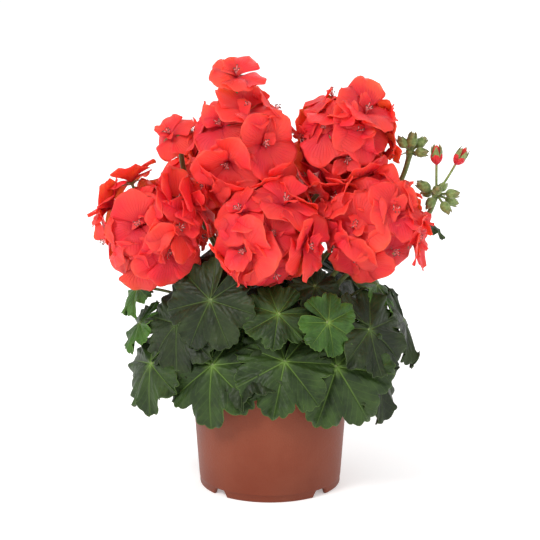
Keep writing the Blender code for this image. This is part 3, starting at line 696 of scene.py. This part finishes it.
# %% [markdown]
# ## A single floret
# Up close a floret is five broad petals on narrow claws around a small throat, often with up to
# three smaller petals inside, a fringe of pink filaments, and a green calyx behind. Each petal is
# one grid: along its length it bends away from the throat by an angle that changes from row to row,
# and across its width it narrows to the claw, curls and ruffles.

# %% Petals
PETAL_ROWS, PETAL_COLUMNS, SPINE_STEPS = 12, 13, 60
PETAL_WALL = 0.00030
CLAW_WIDTH, CLAW_END, TIP_NARROWING = 0.10, 0.72, 0.16
BROAD_WAVE, FINE_WAVE, VEIN_RIDGE = 0.042, 0.012, 0.00012


def spine(turn):
    """Steps of a line of unit length that points at each angle in turn: sums of cosines and sines."""
    steps = len(turn) - 1
    outward = np.concatenate([[0], np.cumsum(np.cos(turn[:-1]))]) / steps
    upward = np.concatenate([[0], np.cumsum(np.sin(turn[:-1]))]) / steps
    return outward, upward


def petal_block(base, facing, out, length, width, opening, ending, curl, twist, rng):
    """One petal, starting at base and growing out; facing is the side that its upper face looks to.

    Its spine turns from the angle opening, in degrees from the flower's plane, to the angle ending.
    Its half-width grows from a claw to full width at CLAW_END. The tip is round because points away
    from the spine stop sooner. Curl lifts both sides, twist lifts one, and two waves ruffle the edge.
    """
    along = np.linspace(0, 1, PETAL_ROWS)[:, None]
    across = np.linspace(-1, 1, PETAL_COLUMNS)[None, :]
    fine = np.linspace(0, 1, SPINE_STEPS)
    outward, upward = spine(np.radians(opening + (ending - opening) * smooth(fine, 0.0, 0.75)))
    half = CLAW_WIDTH + (1 - CLAW_WIDTH) * smooth(along, 0.0, CLAW_END)
    half -= TIP_NARROWING * smooth(along, 0.80, 1.0)
    sideways = width * across * half
    dip = 0.05 * np.exp(-((across / 0.22) ** 2)) * rng.uniform(-0.2, 1.0)
    reach = along * (1 - 0.30 * along * across**2 - 0.08 * along * across**4 - dip * along**3)
    height = length * np.interp(reach, fine, upward)
    height += curl * width * across**2 * half + twist * sideways * along
    for size, turns, power in ((BROAD_WAVE, 1.9, 2), (FINE_WAVE, 4.3, 3)):
        height += size * length * along**power * np.sin(turns * np.pi * across + rng.uniform(*ANY_PHASE))
    height += VEIN_RIDGE * np.cos(7 * np.pi * across) * along
    flat = (length * np.interp(reach, fine, outward))[..., None] * out
    points = base + flat + height[..., None] * facing + sideways[..., None] * np.cross(out, facing)
    return block(points, [grid_faces(PETAL_ROWS, PETAL_COLUMNS, False)], across, along)


print("points in a petal:", PETAL_ROWS * PETAL_COLUMNS)

# %% [markdown]
# ## Sepals and bracts
# The green parts of a flower are narrow pointed leaves: five sepals behind each floret, and bracts
# under a head. They are so small that a grid of six rows by three columns is enough. Both come from
# one function, and a second one turns them round the way that their flower faces.

# %% Sepals
SEPAL_ROWS, SEPAL_COLUMNS = 6, 3


def sepal_block(base, facing, out, length, width, opening, ending):
    """A narrow pointed sepal or bract, folded along its middle; its half-width is part of a sine."""
    along = np.linspace(0, 1, SEPAL_ROWS)[:, None]
    across = np.linspace(-1, 1, SEPAL_COLUMNS)[None, :]
    turn = np.radians(opening + (ending - opening) * along[:, 0])
    outward, upward = (steps[:, None] * length for steps in spine(turn))
    sideways = width * across * (np.sin(np.pi * (0.18 + 0.80 * along)) + 0.04)
    height = upward + 0.25 * width * across**2
    place = (outward + 0 * across)[..., None] * out + height[..., None] * facing
    points = base + place + sideways[..., None] * np.cross(out, facing)
    return block(points, [grid_faces(SEPAL_ROWS, SEPAL_COLUMNS, False)], across, along)


def around(facing, spin):
    """The direction at an angle round the way a flower faces; 90 degrees is its upward side."""
    helper = Z if abs(facing[2]) < 0.93 else -Y
    up = unit(helper - facing * (facing @ helper))
    right = np.cross(up, facing)
    return right * math.cos(math.radians(spin)) + up * math.sin(math.radians(spin))

# %% [markdown]
# ## Stamens
# Thin pink filaments stand in the throat, each with a darker anther. A filament is a tube of only
# four sides, as its roundness can't be seen, and an anther is a short fat tube across its end.

# %% Stamens
FILAMENTS, FILAMENT_RADIUS = 7, 0.00028
ANTHER_HALF, ANTHER_RADII = 0.0007, (0.0002, 0.00045, 0.00045, 0.0002)


def stamen_blocks(throat, facing, rng):
    """Seven thin filaments that lean out of the throat, each with a small anther at its end.

    An anther's along number runs from 2 to 3, so that the finish can tell it from its filament.
    """
    made = []
    for spin in np.arange(FILAMENTS) * 360 / FILAMENTS + rng.uniform(0, 50):
        lean = unit(facing + 0.42 * rng.uniform(0.4, 1.2) * around(facing, spin))
        reach = rng.uniform(0.0060, 0.0092)
        path = bezier((throat, throat + facing * 0.5 * reach, throat + lean * reach), np.linspace(0, 1, 5))
        made.append(tube_block(path, FILAMENT_RADIUS, 4))
        length_steps = np.linspace(-ANTHER_HALF, ANTHER_HALF, len(ANTHER_RADII))[:, None]
        anther = path[-1] + length_steps * around(lean, rng.uniform(0, 360))
        points, faces, turn, share = tube_block(anther, ANTHER_RADII, 5)
        made.append((points, faces, turn, share + 2))
    return made

# %% [markdown]
# ## Putting a floret together
# No two florets are alike, so every angle and size is drawn at random around its usual value. Each
# head has a generator of its own with a fixed seed, so the plant is the same every time.

# %% One floret
UPPER_PETALS, LOWER_PETALS = (54, 126), (198, 270, 342)
SEPAL_SPINS, SEPAL_LENGTH, SEPAL_HALF_WIDTH = range(90, 450, 72), 0.0085, 0.0015
CALYX_DEPTH, INNER_RISE, PEDICEL_RADIUS, PEDICEL_SWELL = 0.0022, 0.0012, 0.00075, 0.0005


def main_petals(throat, facing, length, rng):
    """Five broad petals: the upper two stand up more, and the lower three bend down at their ends."""
    petals, mood = [], rng.normal(0, 9)
    for spins, opening, ending in ((UPPER_PETALS, 38, 2), (LOWER_PETALS, 28, -16)):
        for spin in spins:
            out = around(facing, spin + rng.normal(0, 6))
            size = length * rng.uniform(1.04, 1.17)
            angles = opening + mood + rng.normal(0, 7), ending + mood + rng.normal(0, 10)
            curl, twist = rng.uniform(-0.22, 0.12), 0.18 + rng.normal(0, 0.08)
            width = size * rng.uniform(0.50, 0.60)
            petals.append(petal_block(throat, facing, out, size, width, *angles, curl, twist, rng))
    return petals


def inner_petals(throat, facing, length, rng):
    """Up to three smaller petals that stand more upright inside the five."""
    petals = []
    for _ in range(rng.integers(0, 4)):
        out = around(facing, rng.uniform(0, 360))
        size = length * rng.uniform(0.50, 0.78)
        angles = rng.uniform(52, 76), rng.uniform(0, 50)
        curl, twist, width = rng.uniform(-0.2, 0.3), rng.normal(0, 0.2), size * rng.uniform(0.34, 0.46)
        base = throat + facing * INNER_RISE
        petals.append(petal_block(base, facing, out, size, width, *angles, curl, twist, rng))
    return petals


def floret_blocks(hub, row, rng):
    """The petals, green parts and stamens of one floret of a head.

    It faces out from the hub, a little up to the light, and to the front when it is on top.
    """
    azimuth, elevation, reach, length = row
    radial = direction(azimuth, elevation)
    throat = hub + radial * reach
    facing = unit(radial + 0.22 * Z - 0.55 * smooth(elevation, 66, 86) * Y + rng.normal(0, 0.07, 3))
    petals = main_petals(throat, facing, length, rng) + inner_petals(throat, facing, length, rng)
    base = throat - facing * CALYX_DEPTH
    green = [sepal_block(base, facing, around(facing, spin), SEPAL_LENGTH, SEPAL_HALF_WIDTH, 30, -12)
             for spin in SEPAL_SPINS]
    share = np.linspace(0, 1, 9)
    bow = hub + radial * 0.5 * reach - 0.05 * reach * Z
    radii = PEDICEL_RADIUS + PEDICEL_SWELL * smooth(share, 0.55, 1.0)
    green.append(tube_block(bezier((hub, bow, base, throat), share), radii, 7))
    return petals, green, stamen_blocks(throat + facing * 0.001, facing, rng)

# %% [markdown]
# ## Petal, calyx and stamen finishes
# The petals are a clear coral red, a little more orange towards the edge where light comes through
# and a deeper pink red in the throat, with fine veins that fan out from the claw. A little
# subsurface light softens the shadows between petals, as in real thin petals.

# %% Flower materials
petal_finish = Finish("petal_coral", 0.55, Subsurface_Weight=0.5, Specular_IOR_Level=0.18)
petal_finish.shader.inputs["Subsurface Scale"].default_value = 0.006
petal_finish.shader.inputs["Subsurface Radius"].default_value = (1.0, 0.35, 0.2)
petal_side, petal_out = petal_finish.attribute("across"), petal_finish.attribute("along")
tint = petal_finish.noise(38, 3)
fan = ((petal_side * 8.0) * (1 - petal_out * 0.25)).fraction()
vein = (1 - (fan - 0.5).absolute().ramp(0.0, 0.16)) * (1 - petal_out.ramp(0.45, 1.0))
coral = petal_finish.blend(tint.ramp(0.35, 0.65), shade(248, 40, 56), shade(250, 58, 55))
coral = petal_finish.blend(petal_out.ramp(0.55, 1.0) * 0.35, coral, shade(252, 76, 60))
coral = petal_finish.blend((1 - petal_out.ramp(0.05, 0.45)) * 0.55, coral, shade(226, 24, 56))
petal_finish.colour(petal_finish.blend(vein * 0.22, coral, shade(206, 16, 46)))
petal_finish.rough(tint * 0.10 + 0.46)
petal_finish.relief(vein * -0.6 + petal_finish.noise(500, 3) * 0.5, 0.0004)

calyx_finish = Finish("calyx_green", 0.55, Sheen_Weight=0.2)
speckle, length_share = calyx_finish.noise(400, 4), calyx_finish.attribute("along")
calyx = calyx_finish.blend(speckle.ramp(0.3, 0.7), shade(96, 118, 56), shade(138, 156, 88))
calyx_finish.colour(calyx_finish.blend(length_share.ramp(0.7, 1.0) * 0.5, calyx, shade(150, 116, 82)))
calyx_finish.relief(speckle, 0.0002)

stamen_finish = Finish("stamen_pink", 0.5)
step = stamen_finish.attribute("along")
pink = stamen_finish.blend(step.ramp(0.1, 0.9), shade(200, 40, 60), shade(240, 170, 165))
stamen_finish.colour(stamen_finish.blend(step.ramp(1.4, 1.8), pink, shade(120, 58, 48)))
stamen_finish.relief(stamen_finish.noise(900, 2), 0.0001)
print("flower finishes:", [f.material.name for f in (petal_finish, calyx_finish, stamen_finish)])

# %% [markdown]
# ## Buds
# A closed bud is a green pointed drop held by its sepals, and an opened one shows the tip of its
# rolled petals. Both are one tube whose radius grows and shrinks, with five sepals laid against it.

# %% Buds
BUD_GROWTH, BUD_CLOSENESS, OPENED_LENGTH = 1.35, 0.80, 0.0105


def bud_blocks(hub, row, opened):
    """A pointed bud on its pedicel; an opened one shows its rolled red petals above shorter sepals.

    Its radius is part of a sine, fuller near the foot, and five sepals lie against it.
    """
    azimuth, elevation, reach, length = row
    facing, length = direction(azimuth, elevation), length * BUD_GROWTH
    reach = reach if opened else reach * BUD_CLOSENESS
    start = hub + facing * (reach - 0.1 * length)
    share = np.linspace(0, 1, 12)
    widest = (0.30 if opened else 0.34) * length
    radii = widest * np.sin(np.pi * np.clip(0.06 + 0.90 * share**0.8, 0, 1)) + 0.0002
    body = tube_block(start + (share * length)[:, None] * facing, radii, 10)
    bow = hub + facing * 0.5 * reach - 0.08 * reach * Z
    pedicel = bezier((hub, bow, start + facing * 0.1 * length), np.linspace(0, 1, 7))
    green = [tube_block(pedicel, 0.0009, 6)]
    for spin in range(0, 360, 72):
        out = around(facing, spin + 10)
        first = start + facing * 0.08 * length + out * 0.12 * length
        green.append(sepal_block(first, facing, out, 0.92 * length, 0.17 * length, 66, 108))
    return ([body], green) if opened else ([], green + [body])

# %% [markdown]
# ## Florets in the gaps
# A full head hides its stalk and its neighbours, so no gap may stay open between its florets. The
# gaps are found by trying many places spread evenly over a sphere, which is what a golden spiral
# gives, and keeping those that are far from every floret.

# %% Gaps
SPIRAL_STEPS, GOLDEN_ANGLE, GAP_ANGLE, LOWEST_FILLER = 90, 137.508, 34, -48
FILLER_REACH, FILLER_PETAL = 0.0225, 0.0235


def florets_between(florets):
    """Smaller, deeper florets wherever the listed ones leave a gap wider than GAP_ANGLE on the head.

    The places to try are a golden spiral over the sphere; each one is kept if it is far enough
    from the florets listed and from those already kept.
    """
    taken = [direction(row[0], row[1]) for row in florets]
    near = math.cos(math.radians(GAP_ANGLE))
    kept = []
    for index in range(SPIRAL_STEPS):
        azimuth = GOLDEN_ANGLE * index % 360
        elevation = math.degrees(math.asin(1 - (2 * index + 1) / SPIRAL_STEPS))
        place = direction(azimuth, elevation)
        if elevation > LOWEST_FILLER and max(place @ other for other in taken) < near:
            taken.append(place)
            kept.append((azimuth, elevation, FILLER_REACH, FILLER_PETAL))
    return kept

# %% [markdown]
# ## The flower heads
# A head is a hub with a ring of small bracts and seven or more florets on pedicels, though the small
# one at the left has a single floret among buds. The florets grow outwards and turn a little up to
# the light. The petals of one head are one piece, its green parts another, and its stamens a third,
# because each has its own finish.

# %% Heads
BRACT_LENGTH, BRACT_HALF_WIDTH, HUB_RADIUS, HUB_HALF_HEIGHT = 0.0070, 0.0020, 0.0030, 0.0032
HEAD_SEED, BUD_SEED = 20, 60


def hub_blocks(hub, spin):
    """The bracts in a ring under the hub, and the hub itself, a small upright ellipsoid."""
    base = hub - Z * 0.0015
    bracts = [sepal_block(base, Z, around(Z, turn + spin), BRACT_LENGTH, BRACT_HALF_WIDTH, 12, -40)
              for turn in range(0, 360, 60)]
    knob = np.linspace(0, np.pi, 9)
    path = hub - Z * HUB_HALF_HEIGHT * np.cos(knob)[:, None]
    return bracts + [tube_block(path, HUB_RADIUS * np.sin(knob) + 0.0002, 12)]


def make_head(name, hub, florets, buds, seed):
    """All the pieces of one head; returns how many florets it has."""
    rng = np.random.default_rng(seed)
    petals, green, stamens = [], [], []
    florets = florets + BETWEEN_HEADS.get(name, ())
    if len(florets) > 1:
        florets = (*florets, *florets_between(florets))
    for row in florets:
        parts = floret_blocks(hub, row, rng)
        petals += parts[0]
        green += parts[1]
        stamens += parts[2]
    for row in buds:
        reds, greens = bud_blocks(hub, row, row[3] > OPENED_LENGTH)
        petals += reds
        green += greens
    green += hub_blocks(hub, seed * 7)
    node = "flower_head_" + name
    make_piece(node + "_green", green, calyx_finish.material, [node], 0.00015, 0.0)
    if petals:
        make_piece(node + "_petals", petals, petal_finish.material, (), PETAL_WALL)
    if stamens:
        make_piece(node + "_stamens", stamens, stamen_finish.material)
    return len(florets)


total = 0
for index, (name, (branch, share, florets)) in enumerate(HEADS.items()):
    hub = make_stalk(name, branch, share)
    buds = SMALL_HEAD_BUDS if name == "small_left" else ()
    total += make_head(name, hub, florets, buds, HEAD_SEED + index)
for index, (name, (branch, share, buds)) in enumerate(BUD_HEADS.items()):
    make_head(name, make_stalk(name, branch, share), (), buds, BUD_SEED + index)
print("heads:", len(HEADS) + len(BUD_HEADS), "florets:", total)

# %% [markdown]
# ## The pot
# A thin moulded nursery pot: it widens a little upwards, has a plain band under the rim, a stepped
# foot with four notches that let water out, and drain holes in its floor. A turned profile gives
# every ring at once, with enough steps round that its edge never shows corners. The notches are
# made by lifting the foot's lowest ring where each one is.

# %% Pot surface
POT_SEGMENTS = 240
POT_HEIGHT, POT_TOP, POT_BASE = 0.0920, 0.0597, 0.0535
LIP_OVERHANG, LIP_HEIGHT, WALL = 0.0014, 0.0075, 0.0016
FOOT_HEIGHT, FOOT_THICKNESS, FLOOR_TOP = 0.0055, 0.0030, 0.0075
NOTCH_FOOT, NOTCH_TOP, NOTCH_INNER_RADIUS = 0.0135, 0.0095, 0.048
DRAIN_HOLES, DRAIN_CIRCLE, DRAIN_RADIUS, DRAIN_SIDES = 6, 0.0330, 0.0042, 32
DRAIN_LEVEL, DRAIN_LENGTH = 0.0065, 0.008
FOOT_STEP, ROUND, SMALL_ROUND = 0.0004, 0.0006, 0.0003
RIM_HALF_WIDTH, RIM_ROUND = 0.0015, 0.0012


def wall_at(height):
    """The wall's outer radius, which grows evenly from the foot to the rim."""
    return POT_BASE + (POT_TOP - POT_BASE) * (height - FOOT_HEIGHT) / (POT_HEIGHT - FOOT_HEIGHT)


def pot_profile():
    """Radius and height of each ring: foot inside, foot, wall, lip, over the rim, and down inside."""
    lip_foot, rim = POT_HEIGHT - LIP_HEIGHT, POT_TOP + LIP_OVERHANG
    outer = POT_BASE - FOOT_STEP
    inner = outer - FOOT_THICKNESS
    rings = [(0, FOOT_HEIGHT), (inner - 0.010, FOOT_HEIGHT), (inner - ROUND, FOOT_HEIGHT)]
    rings += [(inner, FOOT_HEIGHT - ROUND), (inner, 0.0007), (inner + ROUND, 0.0)]
    rings += [(outer - 0.0010, 0.0), (outer - SMALL_ROUND, SMALL_ROUND), (outer, 0.0010)]
    rings += [(outer, FOOT_HEIGHT - 0.0002), (outer + SMALL_ROUND, FOOT_HEIGHT)]
    rings += [(wall_at(h), h) for h in (0.0064, 0.0078)]
    rings += [(wall_at(h), h) for h in np.linspace(0.016, lip_foot - 0.0022, 10)]
    rings += [(wall_at(lip_foot - 0.001), lip_foot - 0.001), (wall_at(lip_foot) + ROUND, lip_foot - 0.0002)]
    rings += [(rim - SMALL_ROUND, lip_foot), (rim, lip_foot + ROUND), (rim, POT_HEIGHT - RIM_ROUND)]
    middle = rim - RIM_HALF_WIDTH
    for turn in np.radians(np.linspace(20, 160, 6)):
        top = POT_HEIGHT - RIM_ROUND + RIM_ROUND * math.sin(turn)
        rings.append((middle + RIM_HALF_WIDTH * math.cos(turn), top))
    rings += [(middle - RIM_HALF_WIDTH, POT_HEIGHT - 0.0016), (wall_at(lip_foot) - WALL, lip_foot - 0.002)]
    rings += [(wall_at(h) - WALL, h) for h in np.linspace(0.070, 0.012, 5)]
    rings += [(wall_at(0.0090) - WALL - 0.0005, 0.0085), (0.044, FLOOR_TOP), (0, FLOOR_TOP)]
    return rings


def cut_notches(points):
    """Lift each foot point that lies inside a notch to the notch's rounded top.

    There is a notch at every 90 degrees, starting 45 from the front. The lift is an S-curve of the
    distance along the foot from the notch's middle.
    """
    radius = np.hypot(points[:, 0], points[:, 1])
    angle = np.degrees(np.arctan2(points[:, 0], -points[:, 1]))
    beside = np.radians(np.abs(angle % 90 - 45)) * radius
    roof = FOOT_HEIGHT - SMALL_ROUND
    lift = roof * (1 - smooth(beside, NOTCH_TOP / 2, NOTCH_FOOT / 2))
    low = (points[:, 2] < roof) & (radius > NOTCH_INNER_RADIUS)
    points[low, 2] = np.maximum(points[low, 2], lift[low])
    return points


pot_points, pot_faces, pot_turn, _ = turned_block(pot_profile(), POT_SEGMENTS)
pot_share = pot_points[:, 2] / POT_HEIGHT
pot_block = (cut_notches(pot_points) + PLANT_AXIS, pot_faces, pot_turn, pot_share)

pot_finish = Finish("pot_terracotta_plastic", 0.42, Specular_IOR_Level=0.2)
pot_rise = pot_finish.attribute("along")
mottle, grain = pot_finish.noise(30, 4), pot_finish.noise(700, 3)
clay = pot_finish.blend(pot_rise.ramp(0.0, 1.0), shade(116, 52, 32), shade(131, 64, 42))
clay = pot_finish.blend(mottle.ramp(0.3, 0.75) * 0.20, clay, shade(150, 88, 66))
# Large soft darker patches cover the lowest third of the pot and fade out upwards. With the ramp above, the
# pot is darker towards the bottom.
low_dark_patches = pot_finish.noise(9, 5).ramp(0.54, 0.66) * (1 - pot_rise.ramp(0.0, 0.35))
pot_finish.colour(pot_finish.blend(low_dark_patches * 0.25, clay, shade(98, 50, 36)))
pot_finish.rough(mottle * 0.14 + 0.38)
pot_finish.relief(grain + mottle * 0.8, 0.00025)
pot = make_piece("pot_shell", [pot_block], pot_finish.material, ["pot"])


def weld(piece):
    """Join the points that share a place, which closes a turned shape where its radius is zero."""
    shape = bmesh.new()
    shape.from_mesh(piece.data)
    bmesh.ops.remove_doubles(shape, verts=shape.verts, dist=1e-6)
    shape.to_mesh(piece.data)
    shape.free()


def drill(target):
    """Cut the six drain holes with short cylinders, then drop the cutter."""
    cutter_mesh = bpy.data.meshes.new("drain_cutter")
    shape = bmesh.new()
    for index in range(DRAIN_HOLES):
        turn = 2 * math.pi * index / DRAIN_HOLES
        spot = Vector((DRAIN_CIRCLE * math.sin(turn), -DRAIN_CIRCLE * math.cos(turn), DRAIN_LEVEL))
        bmesh.ops.create_cone(
            shape, cap_ends=True, segments=DRAIN_SIDES, radius1=DRAIN_RADIUS, radius2=DRAIN_RADIUS,
            depth=DRAIN_LENGTH, matrix=Matrix.Translation(spot + Vector(PLANT_AXIS)),
        )
    shape.to_mesh(cutter_mesh)
    shape.free()
    cutter = add_object("drain_cutter", cutter_mesh)
    cut = target.modifiers.new("drain", "BOOLEAN")
    cut.operation, cut.object, cut.solver = "DIFFERENCE", cutter, "EXACT"
    bpy.context.view_layer.update()
    cut_target = target.evaluated_get(bpy.context.evaluated_depsgraph_get())
    result = bpy.data.meshes.new_from_object(cut_target)
    target.modifiers.clear()
    target.data = result
    bpy.data.objects.remove(cutter)
    return len(result.polygons)


weld(pot)
print("pot faces:", drill(pot))

# %% [markdown]
# ## The potting soil
# Dark, damp, loose mix: an uneven surface with crumbs, fibres and a few white grains of perlite.
# It is one closed block under the rim, with crumbs laid on it in a second piece.

# %% Soil
SOIL_TOP, SOIL_RADIUS, SOIL_CROWN, SOIL_DEPTH, SIDE_TAPER = 0.0810, 0.0570, 0.0012, 0.012, 0.985
SOIL_SEGMENTS, SOIL_RINGS = 160, 46
CLOD_LIMIT = 0.0012
CRUMBS, FIBRES, GRAINS = 900, 160, 70
CORNERS = ((1, 0, 0), (0, 1, 0), (-1, 0, 0), (0, -1, 0), (0, 0, 1), (0, 0, -1))
SIDES = ((0, 1, 4), (1, 2, 4), (2, 3, 4), (3, 0, 4), (1, 0, 5), (2, 1, 5), (3, 2, 5), (0, 3, 5))


def soil_block():
    """A closed drum: rings of the top, a side that narrows a little, and an underside.

    The top is a low dome with three sizes of crossed sine waves and a random height at each point.
    """
    turn = 2 * np.pi * np.arange(SOIL_SEGMENTS) / SOIL_SEGMENTS
    radius = SOIL_RADIUS * np.linspace(0, 1, SOIL_RINGS)[::-1, None]
    x, y = radius * np.sin(turn), -radius * np.cos(turn)
    crown = SOIL_CROWN * (1 - (radius / SOIL_RADIUS) ** 2)
    waves = 0.0006 * np.sin(310 * x + 1.3) * np.cos(270 * y) + 0.0005 * np.sin(900 * x + 700 * y)
    waves += 0.0004 * np.sin(2100 * y - 1500 * x) + 0.0004 * np.random.default_rng(5).normal(0, 1, x.shape)
    waves[-1] = 0
    top = np.stack([x, y, SOIL_TOP + crown + np.clip(waves, -CLOD_LIMIT, CLOD_LIMIT)], -1)
    level = 0 * turn + SOIL_TOP - SOIL_DEPTH
    side = np.stack([SIDE_TAPER * x[0], SIDE_TAPER * y[0], level], -1)
    under = np.stack([0 * turn, 0 * turn, level], -1)
    points = np.concatenate([[under], [side], top]).reshape(-1, 3) + PLANT_AXIS
    share = np.repeat([0, 1], [2 * SOIL_SEGMENTS, SOIL_RINGS * SOIL_SEGMENTS])
    return block(points, [grid_faces(SOIL_RINGS + 2, SOIL_SEGMENTS, True)], share, share)


def crumb_blocks(count, sizes, seed, stretch):
    """Small uneven eight-sided lumps scattered over the soil; stretch makes them into fibres.

    The square root spreads them evenly over the disc, and each is turned about its upright axis.
    """
    rng = np.random.default_rng(seed)
    turn = rng.uniform(0, 2 * np.pi, count)
    radius = SOIL_RADIUS * 0.97 * np.sqrt(rng.uniform(0.02, 1, count))
    spot = np.stack([radius * np.sin(turn), radius * np.cos(turn), SOIL_TOP + SOIL_CROWN + 0 * radius], -1)
    size = rng.uniform(*sizes, count)[:, None, None]
    lump = np.array(CORNERS, float) * rng.uniform(0.6, 1.2, (count, len(CORNERS), 1)) * (stretch, 1, 0.8)
    spin = rng.uniform(0, 2 * np.pi, count)[:, None]
    rolled_x = lump[..., 0] * np.cos(spin) - lump[..., 1] * np.sin(spin)
    rolled_y = lump[..., 0] * np.sin(spin) + lump[..., 1] * np.cos(spin)
    rolled = np.stack([rolled_x, rolled_y, lump[..., 2]], -1)
    points = (spot[:, None, :] + rolled * size).reshape(-1, 3) + PLANT_AXIS
    starts = len(CORNERS) * np.arange(count)[:, None, None]
    tone = np.repeat(rng.uniform(0, 1, count), len(CORNERS))
    return block(points, [(np.array(SIDES) + starts).reshape(-1, 3)], tone, tone)


soil_finish = Finish("potting_soil", 0.92, Specular_IOR_Level=0.2)
clod, dust = soil_finish.noise(260, 5), soil_finish.noise(1500, 3)
earth = soil_finish.blend(clod.ramp(0.35, 0.7), shade(38, 28, 22), shade(74, 56, 43))
soil_finish.colour(soil_finish.blend(dust.ramp(0.6, 0.72) * 0.5, earth, shade(112, 90, 70)))
soil_finish.rough(clod * 0.12 + 0.85)
soil_finish.relief(clod + dust * 0.4, 0.0012)
weld(make_piece("soil_bed", [soil_block()], soil_finish.material, ["potting_soil"]))
crumbs = crumb_blocks(CRUMBS, (0.0006, 0.0017), 8, 1.2)
make_piece("soil_crumbs", [crumbs], soil_finish.material)

fibre_finish = Finish("soil_fibre", 0.85)
fibre_tone = fibre_finish.attribute("along")
fibre_finish.colour(fibre_finish.blend(fibre_tone, shade(70, 50, 36), shade(128, 98, 68)))
fibre_finish.relief(fibre_finish.noise(900, 3), 0.0003)
fibres = crumb_blocks(FIBRES, (0.0003, 0.0006), 9, 12.0)
make_piece("soil_fibres", [fibres], fibre_finish.material)

perlite_finish = Finish("perlite", 0.8)
dusting = perlite_finish.noise(600, 3)
perlite_finish.colour(perlite_finish.blend(dusting, shade(186, 182, 172), shade(232, 229, 222)))
perlite_finish.relief(perlite_finish.noise(1100, 3), 0.0005)
perlite = crumb_blocks(GRAINS, (0.0006, 0.0012), 10, 1.0)
make_piece("soil_perlite", [perlite], perlite_finish.material)
print("crumbs, fibres and perlite grains:", CRUMBS, FIBRES, GRAINS)

# %% [markdown]
# ## Floor, light and camera
# A bright studio with almost no horizon: a soft key from the upper left and front, a weak fill from
# the right, a light from behind, and a white surround. The floor glows a little, so it stays nearly
# white under the plant's shadow. The camera looks slightly down from two metres with a long lens,
# so the sides of the pot stay nearly parallel.

# %% Studio
FLOOR_HALF, MIDDLE_HEIGHT = 6, 0.165
CAMERA_DISTANCE, CAMERA_TILT, LENS, SENSOR_WIDTH = 2, math.radians(15), 178.7, 36
WORLD_LIGHT, WORLD_SEEN = 0.74, 1.0

floor_mesh = bpy.data.meshes.new("studio_floor")
floor_corners = [(x * FLOOR_HALF, y * FLOOR_HALF, 0) for x, y in ((-1, -1), (1, -1), (1, 1), (-1, 1))]
floor_mesh.from_pydata(floor_corners, [], [(0, 1, 2, 3)])
floor = add_object("studio_floor", floor_mesh)
floor_finish = Finish("studio_white", 0.9, Specular_IOR_Level=0.1, Emission_Strength=0.34)
floor_finish.shader.inputs["Emission Color"].default_value = (1, 1, 1, 1)
faint = floor_finish.noise(3, 2)
floor_finish.colour(floor_finish.blend(faint * 0.1, (0.93, 0.93, 0.93), (0.90, 0.90, 0.90)))
floor_finish.relief(faint, 0.0001)
floor_mesh.materials.append(floor_finish.material)


def aim(seer, target):
    """Turn a light or camera so that its own -Z points at the target."""
    seer.rotation_euler = (Vector(target) - seer.location).to_track_quat("-Z", "Y").to_euler()


def add_light(name, place, target, width, power, tone=(1, 1, 1)):
    """A round area light: its width in metres, its power in watts and its tint."""
    data = bpy.data.lights.new(name, "AREA")
    data.shape, data.size, data.energy, data.color = "DISK", width, power, tone
    light = add_object(name, data)
    light.location = place
    aim(light, target)


PLANT_MIDDLE = PLANT_AXIS + (0, 0, MIDDLE_HEIGHT)
add_light("key", (-0.9, -1.0, 1.3), PLANT_MIDDLE, 0.6, 18, (1.0, 0.985, 0.96))
add_light("fill", (1.3, -0.9, 0.7), PLANT_MIDDLE, 1.0, 4)
add_light("back", (0.3, 1.4, 1.1), PLANT_MIDDLE, 0.9, 6)

world = bpy.data.worlds.new("studio_world")
bpy.context.scene.world = world
world.use_nodes = True
sky = world.node_tree.nodes["Background"]
sky.inputs["Color"].default_value = (1, 1, 1, 1)
seen = world.node_tree.nodes.new("ShaderNodeLightPath")
level = world.node_tree.nodes.new("ShaderNodeMapRange")
level.inputs["To Min"].default_value, level.inputs["To Max"].default_value = WORLD_LIGHT, WORLD_SEEN
world.node_tree.links.new(seen.outputs["Is Camera Ray"], level.inputs["Value"])
world.node_tree.links.new(level.outputs["Result"], sky.inputs["Strength"])

camera_data = bpy.data.cameras.new("camera")
camera_data.lens, camera_data.sensor_width = LENS, SENSOR_WIDTH
camera = add_object("camera", camera_data)
camera_step = np.array((0, -math.cos(CAMERA_TILT), math.sin(CAMERA_TILT))) * CAMERA_DISTANCE
camera.location = PLANT_MIDDLE + camera_step
aim(camera, PLANT_MIDDLE)
bpy.context.scene.camera = camera
bpy.context.scene.view_settings.view_transform = "Standard"
print("camera at:", [round(c, 3) for c in camera.location])
